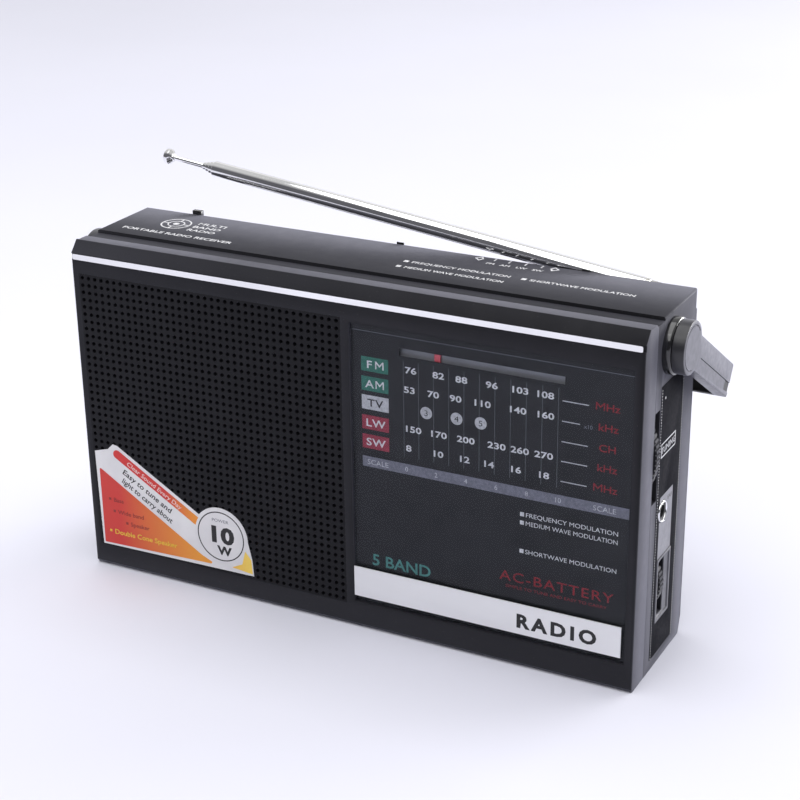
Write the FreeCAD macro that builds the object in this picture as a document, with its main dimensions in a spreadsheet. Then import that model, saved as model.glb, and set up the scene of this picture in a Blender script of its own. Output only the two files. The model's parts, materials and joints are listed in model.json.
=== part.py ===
import FreeCAD, Part
import Sketcher
import math
import os
import re

# Portable world-band radio. Millimetres, +X to the right, +Y to the back, +Z up.
# The origin is the middle of the case's footprint, on the surface that it stands on.

Vector = FreeCAD.Vector
Placement = FreeCAD.Placement
Rotation = FreeCAD.Rotation

# Driving dimensions. Depths named *_at are measured back from the front face.
SIZES = {
    "case_width": 225.0,
    "case_depth": 50.4,
    "case_height": 132.5,
    "wall": 2.2,
    "foot_round": 1.6,
    "joint_at": 11.7,
    "trim_low": 126.0,
    "trim_high": 128.2,
    "trim_sink": 0.8,
    "bevel_depth": 4.0,
    "ledge_drop": 0.4,
    "channel_drop": 1.3,
    "channel_front": 10.3,
    "channel_back": 17.5,
    "cavity_top": 129.0,
    "band_low": 125.0,
    "band_sink": 1.0,
    "edge_round": 0.8,
    "grille_left": 109.6,
    "grille_right": 1.0,
    "grille_low": 9.2,
    "grille_high": 120.8,
    "hole_first_across": 108.25,
    "hole_first_up": 10.6,
    "hole_pitch": 2.815,
    "hole_radius": 0.82,
    "window_left": 4.2,
    "window_right": 109.3,
    "window_low": 10.6,
    "window_high": 119.4,
    "window_gap": 0.15,
    "window_front": 0.4,
    "window_thick": 1.0,
    "window_step": 114.8,
    "plate_front": 1.5,
    "plate_thick": 0.4,
    "slot_left": 23.2,
    "slot_right": 84.6,
    "slot_low": 109.7,
    "slot_high": 112.6,
    "pointer_across": 37.4,
    "strip_low": 13.2,
    "strip_high": 25.1,
    "speaker_across": 56.0,
    "speaker_up": 75.0,
    "speaker_radius": 38.5,
    "tuner_radius": 25.0,
    "tuner_across": 88.5,
    "tuner_up": 83.5,
    "tuner_front": 12.4,
    "tuner_thick": 3.7,
    "drum_radius": 19.1,
    "cord_radius": 0.4,
    "cord_at": 10.9,
    "pulley_radius": 3.2,
    "pulley_up": 108.6,
    "pulley_left": 15.0,
    "pulley_right": 100.5,
    "volume_radius": 13.5,
    "volume_across": 99.8,
    "volume_up": 31.0,
    "volume_front": 22.9,
    "volume_thick": 4.2,
    "jack_up": 60.3,
    "jack_at": 23.0,
    "plug_radius": 1.8,
    "film_front": 17.2,
    "film_back": 39.2,
    "film_low": 4.3,
    "film_high": 108.0,
    "panel_sink": 0.4,
    "panel_proud": 0.2,
    "board_at": 30.0,
    "board_thick": 1.6,
    "cell_radius": 17.1,
    "cell_length": 61.5,
    "cell_at": 30.9,
    "cell_up": 23.5,
    "cell_left": 44.5,
    "door_left": 50.8,
    "door_right": 84.3,
    "door_low": 6.5,
    "door_high": 43.4,
    "door_thick": 1.4,
    "door_hinge": 0.7,
    "pivot_up": 120.3,
    "boss_radius": 9.9,
    "boss_height": 2.9,
    "arm_inner": 115.6,
    "arm_thick": 4.2,
    "arm_width": 12.3,
    "arm_reach": 52.0,
    "grip_thick": 4.4,
    "arm_angle": -32.0,
    "pin_radius": 2.5,
    "aerial_across": 97.5,
    "aerial_at": 53.0,
    "aerial_up": 128.63,
    "aerial_tilt": 6.96,
    "tube_start": 5.0,
    "tube_end": 181.0,
    "tube_radius": 3.0,
    "tube_step": 0.5,
    "tube_gap": 0.06,
    "collar": 1.6,
    "rod_out": 13.2,
    "foot_drop": 4.8,
    "rivet_radius": 1.0,
    "post_radius": 4.2,
    "screw_radius": 1.3,
}

doc = FreeCAD.newDocument("radio")
sheet = doc.addObject("Spreadsheet::Sheet", "Sizes")
for row, (alias, value) in enumerate(SIZES.items(), start=1):
    sheet.set(f"A{row}", alias)
    sheet.set(f"B{row}", str(value))
    sheet.setAlias(f"B{row}", alias)
doc.recompute()

NODES = []
FRONT = -SIZES["case_depth"] / 2


def size(alias):
    """A driving dimension, read from the sheet."""
    return float(sheet.get(alias))


def bind(thing, name, text):
    """Binds a property to an expression in the sheet's aliases."""
    linked = re.sub(r"[a-z]\w+", lambda m: f"Sizes.{m[0]}" if m[0] in SIZES else m[0], str(text))
    thing.setExpression(name, linked)


def at(depth):
    """The row's Y of a depth behind the front face."""
    return f"({depth}) - case_depth / 2"


def keep(thing, label):
    thing.Label = label
    NODES.append(thing)
    return thing


# ---- PartDesign bodies ----

def new_body(label):
    body = doc.addObject("PartDesign::Body", label)
    return keep(body, label)


def new_sketch(body, plane, start):
    """A sketch on one of the body's origin planes, moved to start along the plane's +axis."""
    sketch = body.newObject("Sketcher::SketchObject", f"{body.Name}_sketch")
    support = next(f for f in body.Origin.OriginFeatures if f.Role == plane)
    sketch.AttachmentSupport = [(support, "")]
    sketch.MapMode = "FlatFace"
    sign = "-" if plane == "XZ_Plane" else ""
    bind(sketch, "AttachmentOffset.Base.z", f"{sign}({start})")
    return sketch


def place_point(sketch, geometry, end, across, up):
    """Ties a point to the sketch's origin by two bound distances."""
    for kind, text in (("DistanceX", across), ("DistanceY", up)):
        index = sketch.addConstraint(Sketcher.Constraint(kind, -1, 1, geometry, end, 1.0))
        bind(sketch, f"Constraints[{index}]", text)


def add_outline(sketch, points):
    """A closed outline with straight sides through the points, each an (across, up) pair."""
    first = sketch.GeometryCount
    count = len(points)
    for i in range(count):
        turn = 2 * math.pi * i / count
        after = 2 * math.pi * (i + 1) / count
        a = Vector(math.cos(turn), math.sin(turn), 0)
        b = Vector(math.cos(after), math.sin(after), 0)
        sketch.addGeometry(Part.LineSegment(a, b), False)
    for i in range(count):
        follower = first + (i + 1) % count
        sketch.addConstraint(Sketcher.Constraint("Coincident", first + i, 2, follower, 1))
    for i, (across, up) in enumerate(points):
        place_point(sketch, first + i, 1, across, up)


def add_circle(sketch, across, up, radius):
    circle = Part.Circle(Vector(0, 0, 0), Vector(0, 0, 1), 1.0)
    index = sketch.addGeometry(circle, False)
    place_point(sketch, index, 3, across, up)
    constraint = sketch.addConstraint(Sketcher.Constraint("Radius", index, 1.0))
    bind(sketch, f"Constraints[{constraint}]", radius)


def rectangle(left, low, right, high):
    return [(left, low), (right, low), (right, high), (left, high)]


def fill_sketch(sketch, outlines, circles):
    for points in outlines:
        add_outline(sketch, points)
    for across, up, radius in circles:
        add_circle(sketch, across, up, radius)


def add_material(body, plane, start, length, outlines=(), circles=()):
    """A Pad from start to start + length along the plane's +axis."""
    sketch = new_sketch(body, plane, start)
    fill_sketch(sketch, outlines, circles)
    pad = body.newObject("PartDesign::Pad", f"{body.Name}_pad")
    pad.Profile = sketch
    bind(pad, "Length", length)
    pad.Reversed = plane == "XZ_Plane"
    doc.recompute()
    return pad


def cut_material(body, plane, start, length, outlines=(), circles=()):
    """A Pocket from start to start + length along the plane's +axis. It has to remove something."""
    before = body.Shape.Volume
    sketch = new_sketch(body, plane, start)
    fill_sketch(sketch, outlines, circles)
    pocket = body.newObject("PartDesign::Pocket", f"{body.Name}_pocket")
    pocket.Profile = sketch
    bind(pocket, "Length", length)
    pocket.Reversed = plane != "XZ_Plane"
    doc.recompute()
    if body.Shape.Volume > before - 0.01:
        raise RuntimeError(f"a pocket of {body.Label} removed nothing")
    return pocket


def round_edges(body, radius, wanted):
    """Rounds the straight edges for which wanted(middle, direction) is true."""
    names = []
    for number, edge in enumerate(body.Tip.Shape.Edges, start=1):
        if edge.Curve.TypeId != "Part::GeomLine":
            continue
        middle = edge.valueAt((edge.FirstParameter + edge.LastParameter) / 2)
        if wanted(middle, edge.Curve.Direction):
            names.append(f"Edge{number}")
    base = body.Tip
    fillet = body.newObject("PartDesign::Fillet", f"{body.Name}_round")
    fillet.Base = (base, names)
    bind(fillet, "Radius", radius)
    doc.recompute()
    return fillet


def turned(label, profile, place):
    """A body of revolution: profile points are (along, radius), turned about the body's own X."""
    body = new_body(label)
    sketch = new_sketch(body, "XY_Plane", 0)
    add_outline(sketch, profile)
    spin = body.newObject("PartDesign::Revolution", f"{body.Name}_turn")
    spin.Profile = sketch
    spin.ReferenceAxis = (sketch, ["H_Axis"])
    spin.Angle = 360
    doc.recompute()
    set_place(body, place)
    return body


def set_place(thing, place):
    """place is (x, y, z) expressions and a Rotation."""
    (x, y, z), rotation = place
    thing.Placement = Placement(Vector(0, 0, 0), rotation)
    bind(thing, "Placement.Base.x", x)
    bind(thing, "Placement.Base.y", y)
    bind(thing, "Placement.Base.z", z)


ALONG_X = Rotation()
ALONG_Y = Rotation(Vector(0, 0, 1), 90)
ALONG_Z = Rotation(Vector(0, 1, 0), -90)

# ---- Part primitives ----


def block(left, right, front, back, low, high):
    """A box between bound sides. front and back are depths behind the front face."""
    box = doc.addObject("Part::Box", "block")
    bind(box, "Length", f"({right}) - ({left})")
    bind(box, "Width", f"({back}) - ({front})")
    bind(box, "Height", f"({high}) - ({low})")
    set_place(box, ((left, at(front), low), Rotation()))
    return box


def bar(axis, centre, start, end, radius):
    """A round bar from start to end along axis. centre holds the two other coordinates in order."""
    cylinder = doc.addObject("Part::Cylinder", "bar")
    bind(cylinder, "Radius", radius)
    bind(cylinder, "Height", f"({end}) - ({start})")
    a, b = centre
    if axis == "X":
        place = ((start, at(a), b), Rotation(Vector(0, 1, 0), 90))
    elif axis == "Y":
        place = ((a, at(start), b), Rotation(Vector(1, 0, 0), -90))
    else:
        place = ((a, at(b), start), Rotation())
    set_place(cylinder, place)
    return cylinder


def fused(pieces):
    joined = doc.addObject("Part::MultiFuse", "joined")
    joined.Shapes = pieces
    return joined


def cut(base, tools):
    result = doc.addObject("Part::Cut", "cut")
    result.Base = base
    result.Tool = tools[0] if len(tools) == 1 else fused(tools)
    return result


def group(pieces):
    """Several separate solids in one node."""
    together = doc.addObject("Part::Compound", "group")
    together.Links = pieces
    return together


def made(label, shape):
    """A piece whose shape is set with Part's own functions."""
    feature = doc.addObject("Part::Feature", label)
    feature.Shape = shape
    return keep(feature, label)


HALF = "case_width / 2"
# places, as (across, up), of the posts inside the rear case
POSTS = ((84.0, 124.4), (105.5, 6.0), (-105.5, 6.0), (-100.5, 124.4))
BOARD_POSTS = ((6.0, 51.0), (6.0, 101.0), (72.0, 101.0), (86.0, 51.0))
BRACKET_SCREWS = ((93.6, 117.0), (101.4, 117.0))
SCREW_SEAT = 18.0
BOARD_BACK = "(board_at + board_thick)"
INNER_BACK = "(case_depth - wall - band_sink)"
# openings: the wheels' as (front, low, back, high), the others as (left, low, right, high)
TUNER_SLOT = ("joint_at + 0.3", 66.8, "16.6", 100.3)
VOLUME_SLOT = ("22.2", 19.5, "28", 42.0)
SWITCH_SLOT = (33.6, 122.2, 60.5, 124.4)
INLET_HOLE = (-71.6, 10.4, -53.4, 23.6)
DOOR_OPENING = (-48.5, 7.6, 82.0, 41.0)
BORE_DEPTH = "10"


# ---- case ----

def front_case():
    body = new_body("front_case")
    low = "foot_round"
    bevel_top = "case_height - ledge_drop"
    profile = [
        (at("0"), low), (at(low), "0"), (at("joint_at"), "0"),
        (at("joint_at"), "case_height - channel_drop"),
        (at("channel_front"), "case_height - channel_drop"),
        (at("channel_front"), bevel_top),
        (at("bevel_depth + 0.9"), bevel_top), (at("bevel_depth + 0.6"), "case_height"),
        (at("bevel_depth"), "case_height"), (at("0.25"), "trim_high"),
        (at("trim_sink"), "trim_high"), (at("trim_sink"), "trim_low"), (at("0"), "trim_low"),
    ]
    add_material(body, "YZ_Plane", f"-{HALF}", "case_width", [profile])
    width = size("case_width") / 2

    def side_edge(middle, direction):
        upright = abs(direction.z) > 0.9 and middle.y < FRONT + 0.1
        return abs(abs(middle.x) - width) < 0.01 and upright

    round_edges(body, "edge_round", side_edge)
    cavity = rectangle(f"wall - {HALF}", "wall", f"{HALF} - wall", "cavity_top")
    cut_material(body, "XZ_Plane", at("wall"), "joint_at - wall", [cavity])
    grille = rectangle("-grille_left", "grille_low", "grille_right", "grille_high")
    window = rectangle("window_left", "window_low", "window_right", "window_high")
    cut_material(body, "XZ_Plane", at("0"), "wall", [grille, window])
    posts = [(x, z, "post_radius - 0.7") for x, z in POSTS]
    add_material(body, "XZ_Plane", at("wall"), "joint_at - wall - 0.1", circles=posts)
    pilots = [(x, z, "screw_radius") for x, z in POSTS]
    cut_material(body, "XZ_Plane", at("wall + 2"), "joint_at", circles=pilots)
    return body


def rear_case():
    body = new_body("rear_case")
    roof = "case_height - channel_drop"
    profile = [
        (at("joint_at"), "0"), (at("case_depth - 3.0"), "0"), (at("case_depth - 1.7"), "1.2"),
        (at("case_depth"), "6.2"), (at("case_depth"), "band_low"),
        (at("case_depth - band_sink"), "band_low"), (at("case_depth - band_sink"), "case_height"),
        (at("channel_back"), "case_height"), (at("channel_back"), roof), (at("joint_at"), roof),
    ]
    add_material(body, "YZ_Plane", f"-{HALF}", "case_width", [profile])
    width = size("case_width") / 2
    rear_face = -FRONT - 1.2

    def side_edge(middle, direction):
        upright = abs(direction.z) > 0.9 and middle.y > rear_face
        top = abs(direction.y) > 0.9 and middle.z > size("case_height") - 0.1
        return abs(abs(middle.x) - width) < 0.01 and (upright or top)

    round_edges(body, "edge_round", side_edge)
    cavity = rectangle(f"wall - {HALF}", "wall", f"{HALF} - wall", "cavity_top")
    cut_material(body, "XZ_Plane", at("joint_at"), f"{INNER_BACK} - joint_at", [cavity])
    # posts for the case screws, each a deep well with its seat near the joint
    posts = [(x, z, "post_radius") for x, z in POSTS]
    add_material(body, "XZ_Plane", at("joint_at"), "case_depth - wall - joint_at", circles=posts)
    clearance = [(x, z, "screw_radius + 0.2") for x, z in POSTS]
    cut_material(body, "XZ_Plane", at("joint_at - 1"), BORE_DEPTH, circles=clearance)
    wells = [(x, z, "post_radius - 1.1") for x, z in POSTS]
    cut_material(body, "XZ_Plane", at(SCREW_SEAT), "case_depth", circles=wells)
    # posts that carry the main board
    board_posts = [(x, z, 3.0) for x, z in BOARD_POSTS]
    post_length = f"case_depth - {BOARD_BACK} - wall"
    add_material(body, "XZ_Plane", at(BOARD_BACK), post_length, circles=board_posts)
    pilots = [(x, z, 1.0) for x, z in BOARD_POSTS]
    cut_material(body, "XZ_Plane", at("board_at"), BORE_DEPTH, circles=pilots)
    # the battery door's opening and the ledge round it, the mains inlet's and the band switch's
    through_back = at(f"{INNER_BACK} - 0.1")
    cut_material(body, "XZ_Plane", through_back, BORE_DEPTH, [rectangle(*DOOR_OPENING)])
    ledge = rectangle("-door_left - 0.2", "door_low - 0.9", "door_right + 0.2", "door_high + 0.2")
    cut_material(body, "XZ_Plane", at("case_depth - door_thick"), BORE_DEPTH, [ledge])
    holes = [rectangle(*INLET_HOLE), rectangle(*SWITCH_SLOT)]
    cut_material(body, "XZ_Plane", through_back, BORE_DEPTH, holes)
    # openings in the right side, and the film's recess
    through_side = f"{HALF} - wall - 0.1"
    for front, low, back, high in (TUNER_SLOT, VOLUME_SLOT):
        opening = rectangle(at(front), low, at(back), high)
        cut_material(body, "YZ_Plane", through_side, BORE_DEPTH, [opening])
    cut_material(body, "YZ_Plane", through_side, BORE_DEPTH, circles=[(at("jack_at"), "jack_up", 3.5)])
    recess = rectangle(at("film_front"), "film_low", at("film_back"), "film_high")
    cut_material(body, "YZ_Plane", f"{HALF} - panel_sink", BORE_DEPTH, [recess])
    # bores for the handle's pins and the aerial bracket's screws
    pin_hole = [(0, "pivot_up", "pin_radius")]
    cut_material(body, "YZ_Plane", f"-{HALF} - 1", "case_width + 2", circles=pin_hole)
    bracket_holes = [(x, z, 1.0) for x, z in BRACKET_SCREWS]
    cut_material(body, "XZ_Plane", through_back, BORE_DEPTH, circles=bracket_holes)
    return body


def trim_strip():
    body = new_body("chrome_trim")
    strip = rectangle(at("-0.2"), "trim_low + 0.05", at("trim_sink"), "trim_high - 0.05")
    add_material(body, "YZ_Plane", f"-{HALF} + 0.9", "case_width - 1.8", [strip])
    return body


def speaker_grille():
    """A flat panel pierced by a square grid of round holes."""
    left, right = -size("grille_left"), size("grille_right")
    low, high = size("grille_low"), size("grille_high")
    pitch = size("hole_pitch")
    margin = 1.0
    corners = [(left, low), (right, low), (right, high), (left, high)]
    points = [Vector(x, FRONT, z) for x, z in corners]
    outer = Part.Wire(Part.makePolygon(points + points[:1]).Edges)
    holes = []
    x = -size("hole_first_across")
    while x < right - margin:
        z = size("hole_first_up")
        while z < high - margin:
            circle = Part.Circle(Vector(x, FRONT, z), Vector(0, 1, 0), size("hole_radius"))
            holes.append(Part.Wire([circle.toShape()]))
            z += pitch
        x += pitch
    face = Part.Face([outer] + holes)
    return made("speaker_grille", face.extrude(Vector(0, size("wall"), 0)))


def dial_window():
    body = new_body("dial_window")
    back = at("window_front + window_thick")
    profile = [
        (at("window_front"), "window_low + window_gap"), (back, "window_low + window_gap"),
        (back, "window_high - window_gap"), (at("0.1"), "window_high - window_gap"),
        (at("0.1"), "window_step"), (at("window_front"), "window_step - 0.3"),
    ]
    start = "window_left + window_gap"
    add_material(body, "YZ_Plane", start, "window_right - window_left - 2 * window_gap", [profile])
    return body


def dial_plate():
    gap = "window_gap"
    plate_back = "plate_front + plate_thick"
    sheet_plate = block(
        f"window_left + {gap}", f"window_right - {gap}", "plate_front", plate_back,
        f"window_low + {gap}", f"window_high - {gap}",
    )
    slot = block("slot_left", "slot_right", "plate_front - 1", "plate_front + 1", "slot_low", "slot_high")
    return keep(cut(sheet_plate, [slot]), "dial_plate")


def name_strip():
    strip = block(
        "window_left + window_gap", "window_right - 1.3", "0.02", "window_front", "strip_low", "strip_high"
    )
    return keep(strip, "name_strip")


def pointer_rail():
    """A flat rail behind the dial's slot, on two stands, with two tabs up to the front case."""
    ends = (8.0, 103.0)
    tab = 3.0
    front, back = 3.4, 4.4
    low, high, tab_high = 107.4, 115.0, 122.0
    rail = block(ends[0], ends[1] + tab, front, back, low, high)
    feet = [block(x, x + tab, "wall", front, tab_high - 5.5, tab_high) for x in ends]
    legs = [block(x, x + tab, front, back, high, tab_high) for x in ends]
    stands = [block(x, x + tab, "plate_front + plate_thick", front, low, low + 1.8) for x in ends]
    return keep(fused([rail] + feet + legs + stands), "pointer_rail")


def pointer():
    """The red blade, and the carrier behind it that reaches back over the rail to the cord."""
    blade_half, carrier_half = 1.1, 1.6
    blade_low, top_low, top_high = 109.0, 115.4, 116.6
    cheek_low, cheek_high = "pulley_up + 2.3", "pulley_up + 4.1"
    blade_front, blade_back = 2.2, 3.0
    cheek_front, cheek_back, cheek_thick = 9.6, 12.2, 0.6

    def part_of(half, front, back, low, high):
        return block(f"pointer_across - {half}", f"pointer_across + {half}", front, back, low, high)

    blade = part_of(blade_half, blade_front, blade_back, blade_low, top_high)
    saddle = part_of(carrier_half, blade_front, cheek_back, top_low, top_high)
    drop = part_of(carrier_half, cheek_front, cheek_back, cheek_high, top_low)
    cheeks = [
        part_of(carrier_half, front, front + cheek_thick, cheek_low, cheek_high)
        for front in (cheek_front, cheek_back - cheek_thick)
    ]
    return keep(fused([blade, saddle, drop] + cheeks), "pointer")


def side_panel():
    """The film on the right side, with holes for the earphone socket and the volume wheel's frame."""
    inside, outside = f"{HALF} - 2", f"{HALF} + 2"
    plate = block(
        f"{HALF} - panel_sink", f"{HALF} + panel_proud", "film_front", "film_back", "film_low", "film_high"
    )
    jack_hole = bar("X", ("jack_at", "jack_up"), inside, outside, 4.05)
    frame_hole = block(inside, outside, 20.0, 33.5, 17.5, 42.5)
    return keep(cut(plate, [jack_hole, frame_hole]), "side_panel")


def volume_bezel():
    """A dished frame round the volume wheel's slot."""
    outside = f"{HALF} + 2"
    front, back, low, high = 20.1, 33.4, 17.6, 42.4
    border = 1.1
    slot_front, slot_low, slot_back, slot_high = VOLUME_SLOT
    plate = block(f"{HALF} - panel_sink", f"{HALF} + 0.5", front, back, low, high)
    slot = block(f"{HALF} - 2", outside, slot_front, slot_back, slot_low, slot_high - 0.5)
    dish = block(HALF, outside, front + border, back - 1.0, low + border, high - border)
    return keep(cut(plate, [slot, dish]), "volume_bezel")


def earphone_socket():
    """The bright ring in the side, and the socket's moulded body behind it."""
    centre = ("jack_at", "jack_up")
    start, outside = f"{HALF} - panel_sink", f"{HALF} + 2"
    shell_end = f"{HALF} - wall - 0.1"
    ring = cut(
        bar("X", centre, start, f"{HALF} + 0.7", 3.95), [bar("X", centre, f"{HALF} - 2", outside, 2.4)]
    )
    keep(ring, "jack_ring")
    shell = fused([
        block(98.0, shell_end, "jack_at - 4.5", "board_at - 0.1", "jack_up - 4.5", "jack_up + 4.5"),
        bar("X", centre, f"{shell_end} - 0.1", start, 3.4),
    ])
    keep(cut(shell, [bar("X", centre, 99.0, outside, "plug_radius")]), "jack_body")


# ---- loudspeaker ----

def speaker():
    """The loudspeaker behind its cloth, its screws' heads handed back. Profiles are (depth, radius)."""
    centre = ("-speaker_across", "speaker_up")
    place = (("-speaker_across", at("0"), "speaker_up"), ALONG_Y)
    rim_front, rim_back = 3.4, 4.4
    cloth = bar("Y", centre, "wall + 0.05", "wall + 0.3", 40.0)
    keep(cloth, "speaker_cloth")
    gasket = bar("Y", centre, "wall + 0.4", rim_front, "speaker_radius")
    keep(cut(gasket, [bar("Y", centre, "wall", rim_back, 33.0)]), "speaker_gasket")
    basket = turned("speaker_basket", [
        (rim_front, 33.0), (rim_front, "speaker_radius"), (rim_back, "speaker_radius"), (rim_back, 34.6),
        (7.0, 33.6), (17.0, 21.0), (18.2, 21.0), (18.2, 9.4), (17.2, 9.4), (17.2, 19.6), (6.4, 32.4),
        (rim_back, 33.0),
    ], place)
    windows = 4
    before = basket.Shape.Volume
    sketch = new_sketch(basket, "YZ_Plane", 8.5)
    add_outline(sketch, [(-22, 30.0), (22, 30.0), (15, 21.5), (-15, 21.5)])
    opening = basket.newObject("PartDesign::Pocket", "basket_window")
    opening.Profile = sketch
    opening.Length = 7.5
    opening.Reversed = True
    doc.recompute()
    repeat_round(basket, opening, sketch, windows)
    if basket.Shape.Volume > before - 100:
        raise RuntimeError("the basket's windows removed too little")
    cone = turned("cone", [
        (4.6, 31.8), (4.2, 30.6), (4.6, 29.4), (14.6, 9.2),
        (15.0, 9.2), (5.3, 29.6), (4.9, 30.6), (5.2, 31.8),
    ], place)
    whizzer = turned("whizzer", [(7.4, 16.2), (14.2, 7.6), (14.2, 8.1), (7.4, 16.8)], place)
    coil = turned("coil", [(15.2, 6.4), (22.5, 6.4), (22.5, 7.0), (15.2, 7.0)], place)
    for loose in (cone, whizzer, coil):
        NODES.remove(loose)
    keep(group([cone, whizzer, coil]), "speaker_cone")
    turned("speaker_magnet", [
        (18.2, 8.2), (18.2, 20.0), (19.6, 20.0), (19.6, 22.5), (26.6, 22.5), (26.6, 20.0), (28.2, 20.0),
        (28.2, 0), (16.6, 0), (16.6, 5.4), (24.6, 5.4), (24.6, 8.2),
    ], place)
    screw_circle = 36.6
    screws = []
    for i in range(4):
        turn = math.radians(45 + 90 * i)
        x = f"{screw_circle * math.cos(turn):.4f} - speaker_across"
        z = f"{screw_circle * math.sin(turn):.4f} + speaker_up"
        screws.append(bar("Y", (x, z), rim_back, rim_back + 1.4, 1.7))
    return screws


# ---- tuning and volume ----

def repeat_round(body, feature, sketch, count):
    """Repeats a feature evenly round the normal of its sketch."""
    ring = body.newObject("PartDesign::PolarPattern", f"{feature.Name}_ring")
    ring.Originals = [feature]
    ring.Axis = (sketch, ["N_Axis"])
    ring.Angle = 360
    ring.Occurrences = count
    body.Tip = ring
    doc.recompute()


def knurled_wheel(label, profile, radius, front, thick, teeth, place):
    """A wheel turned about its own X, with small notches all round its rim."""
    wheel = turned(label, profile, place)
    before = wheel.Shape.Volume
    sketch = new_sketch(wheel, "YZ_Plane", f"{front} - 0.5")
    tip = f"{radius} - 0.45"
    high = f"{radius} + 0.5"
    add_outline(sketch, [(-0.15, tip), (0.15, tip), (0.75, high), (-0.75, high)])
    notch = wheel.newObject("PartDesign::Pocket", f"{label}_notch")
    notch.Profile = sketch
    bind(notch, "Length", f"{thick} + 1")
    notch.Reversed = True
    doc.recompute()
    repeat_round(wheel, notch, sketch, teeth)
    if wheel.Shape.Volume > before - 0.05 * teeth:
        raise RuntimeError(f"the notches of {label} removed too little")
    return wheel


def tuning():
    """The tuning wheel with the cord's drum in front of it, its shaft and the variable capacitor."""
    centre = ("tuner_across", "tuner_up")
    place = (("tuner_across", at("0"), "tuner_up"), ALONG_Y)
    shaft, bore = 3.0, 3.05
    drum_front = 9.3
    drum = "drum_radius - cord_radius - 0.1"
    flange = "drum_radius + 1.1"
    back = "tuner_front + tuner_thick"
    profile = [
        (drum_front, bore), (drum_front, flange), (9.9, flange), (10.2, drum), (11.6, drum),
        ("tuner_front", flange), ("tuner_front", "tuner_radius - 0.4"), ("tuner_front + 0.4", "tuner_radius"),
        (f"{back} - 0.4", "tuner_radius"), (back, "tuner_radius - 0.4"), (back, bore),
    ]
    knurled_wheel("tuning_wheel", profile, "tuner_radius", "tuner_front", "tuner_thick", 84, place)
    washer = bar("Y", centre, drum_front - 1.1, drum_front - 0.1, 5.0)
    keep(fused([bar("Y", centre, drum_front - 0.6, 21.0, shaft), washer]), "tuning_shaft")
    half = 10
    body = block(
        f"tuner_across - {half}", f"tuner_across + {half}", 17.4, "board_at - 0.1",
        f"tuner_up - {half}", f"tuner_up + {half}",
    )
    keep(cut(body, [bar("Y", centre, 17.0, 22.0, 3.06)]), "tuning_capacitor")


def volume():
    """The volume wheel and its control. The wheel's screw head is handed back."""
    centre = ("volume_across", "volume_up")
    place = (("volume_across", at("0"), "volume_up"), ALONG_Y)
    shaft, bore = 2.0, 2.06
    wheel_back = "volume_front + volume_thick"
    profile = [
        ("volume_front", bore), ("volume_front", "volume_radius - 0.4"),
        ("volume_front + 0.4", "volume_radius"), (f"{wheel_back} - 0.4", "volume_radius"),
        (wheel_back, "volume_radius - 0.4"), (wheel_back, bore),
    ]
    knurled_wheel("volume_wheel", profile, "volume_radius", "volume_front", "volume_thick", 48, place)
    half = 8
    front, back = 28.0, 36.0
    shaft_end = "volume_front - 0.7"
    body = block(
        f"volume_across - {half}", f"volume_across + {half}", front, back,
        f"volume_up - {half}", f"volume_up + {half}",
    )
    keep(fused([body, bar("Y", centre, shaft_end, front, shaft)]), "volume_control")
    return bar("Y", centre, f"{shaft_end} - 0.8", shaft_end, 3.6)


def outer_belt(circles):
    """The closed line that runs round several circles, each ((x, z), radius), taken clockwise."""
    count = len(circles)
    tangents = []
    for i in range(count):
        (ax, az), ar = circles[i]
        (bx, bz), br = circles[(i + 1) % count]
        dx, dz = bx - ax, bz - az
        length = math.hypot(dx, dz)
        lean = math.asin((ar - br) / length)
        heading = math.atan2(dz, dx) + math.pi / 2 - lean
        nx, nz = math.cos(heading), math.sin(heading)
        tangents.append(((ax + ar * nx, az + ar * nz), (bx + br * nx, bz + br * nz)))
    return tangents


def dial_cord():
    """The endless cord round the tuning drum and the two pulleys."""
    y = FRONT + size("cord_at")
    left = ((size("pulley_left"), size("pulley_up")), size("pulley_radius"))
    right = ((size("pulley_right"), size("pulley_up")), size("pulley_radius"))
    drum = ((size("tuner_across"), size("tuner_up")), size("drum_radius"))
    circles = [left, right, drum]
    runs = outer_belt(circles)
    edges = []
    for i, (start, end) in enumerate(runs):
        a = Vector(start[0], y, start[1])
        b = Vector(end[0], y, end[1])
        edges.append(Part.LineSegment(a, b).toShape())
        (cx, cz), radius = circles[(i + 1) % len(circles)]
        c = runs[(i + 1) % len(circles)][0]
        out = Vector(b.x - cx + c[0] - cx, 0, b.z - cz + c[1] - cz)
        middle = Vector(cx, y, cz) + out.normalize() * radius
        edges.append(Part.Arc(b, middle, Vector(c[0], y, c[1])).toShape())
    path = Part.Wire(edges)
    length = path.Length
    start = edges[0].valueAt(edges[0].FirstParameter)
    along = edges[0].tangentAt(edges[0].FirstParameter)
    section = Part.Wire([Part.Circle(start, along, size("cord_radius")).toShape()])
    cord = path.makePipeShell([section], True, False)
    expected = math.pi * size("cord_radius") ** 2 * length
    print(f"dial cord: {length:.1f} mm, volume {cord.Volume:.2f} against {expected:.2f}")
    made("dial_cord", cord)


def cord_pulleys():
    """Two grooved pulleys, each with its post on the front case's rail."""
    flange = "pulley_radius + 0.8"
    pulleys = []
    for side in ("pulley_left", "pulley_right"):
        centre = (side, "pulley_up")
        groove = bar("Y", centre, 9.9, 11.9, "pulley_radius - cord_radius")
        flanges = [bar("Y", centre, front, front + 0.7, flange) for front in (9.5, 11.6)]
        pulleys.append(fused([groove] + flanges))
        pulleys.append(bar("Y", centre, 4.4, 9.5, 2.2))
    keep(group(pulleys), "cord_pulleys")


# ---- circuit ----

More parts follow.
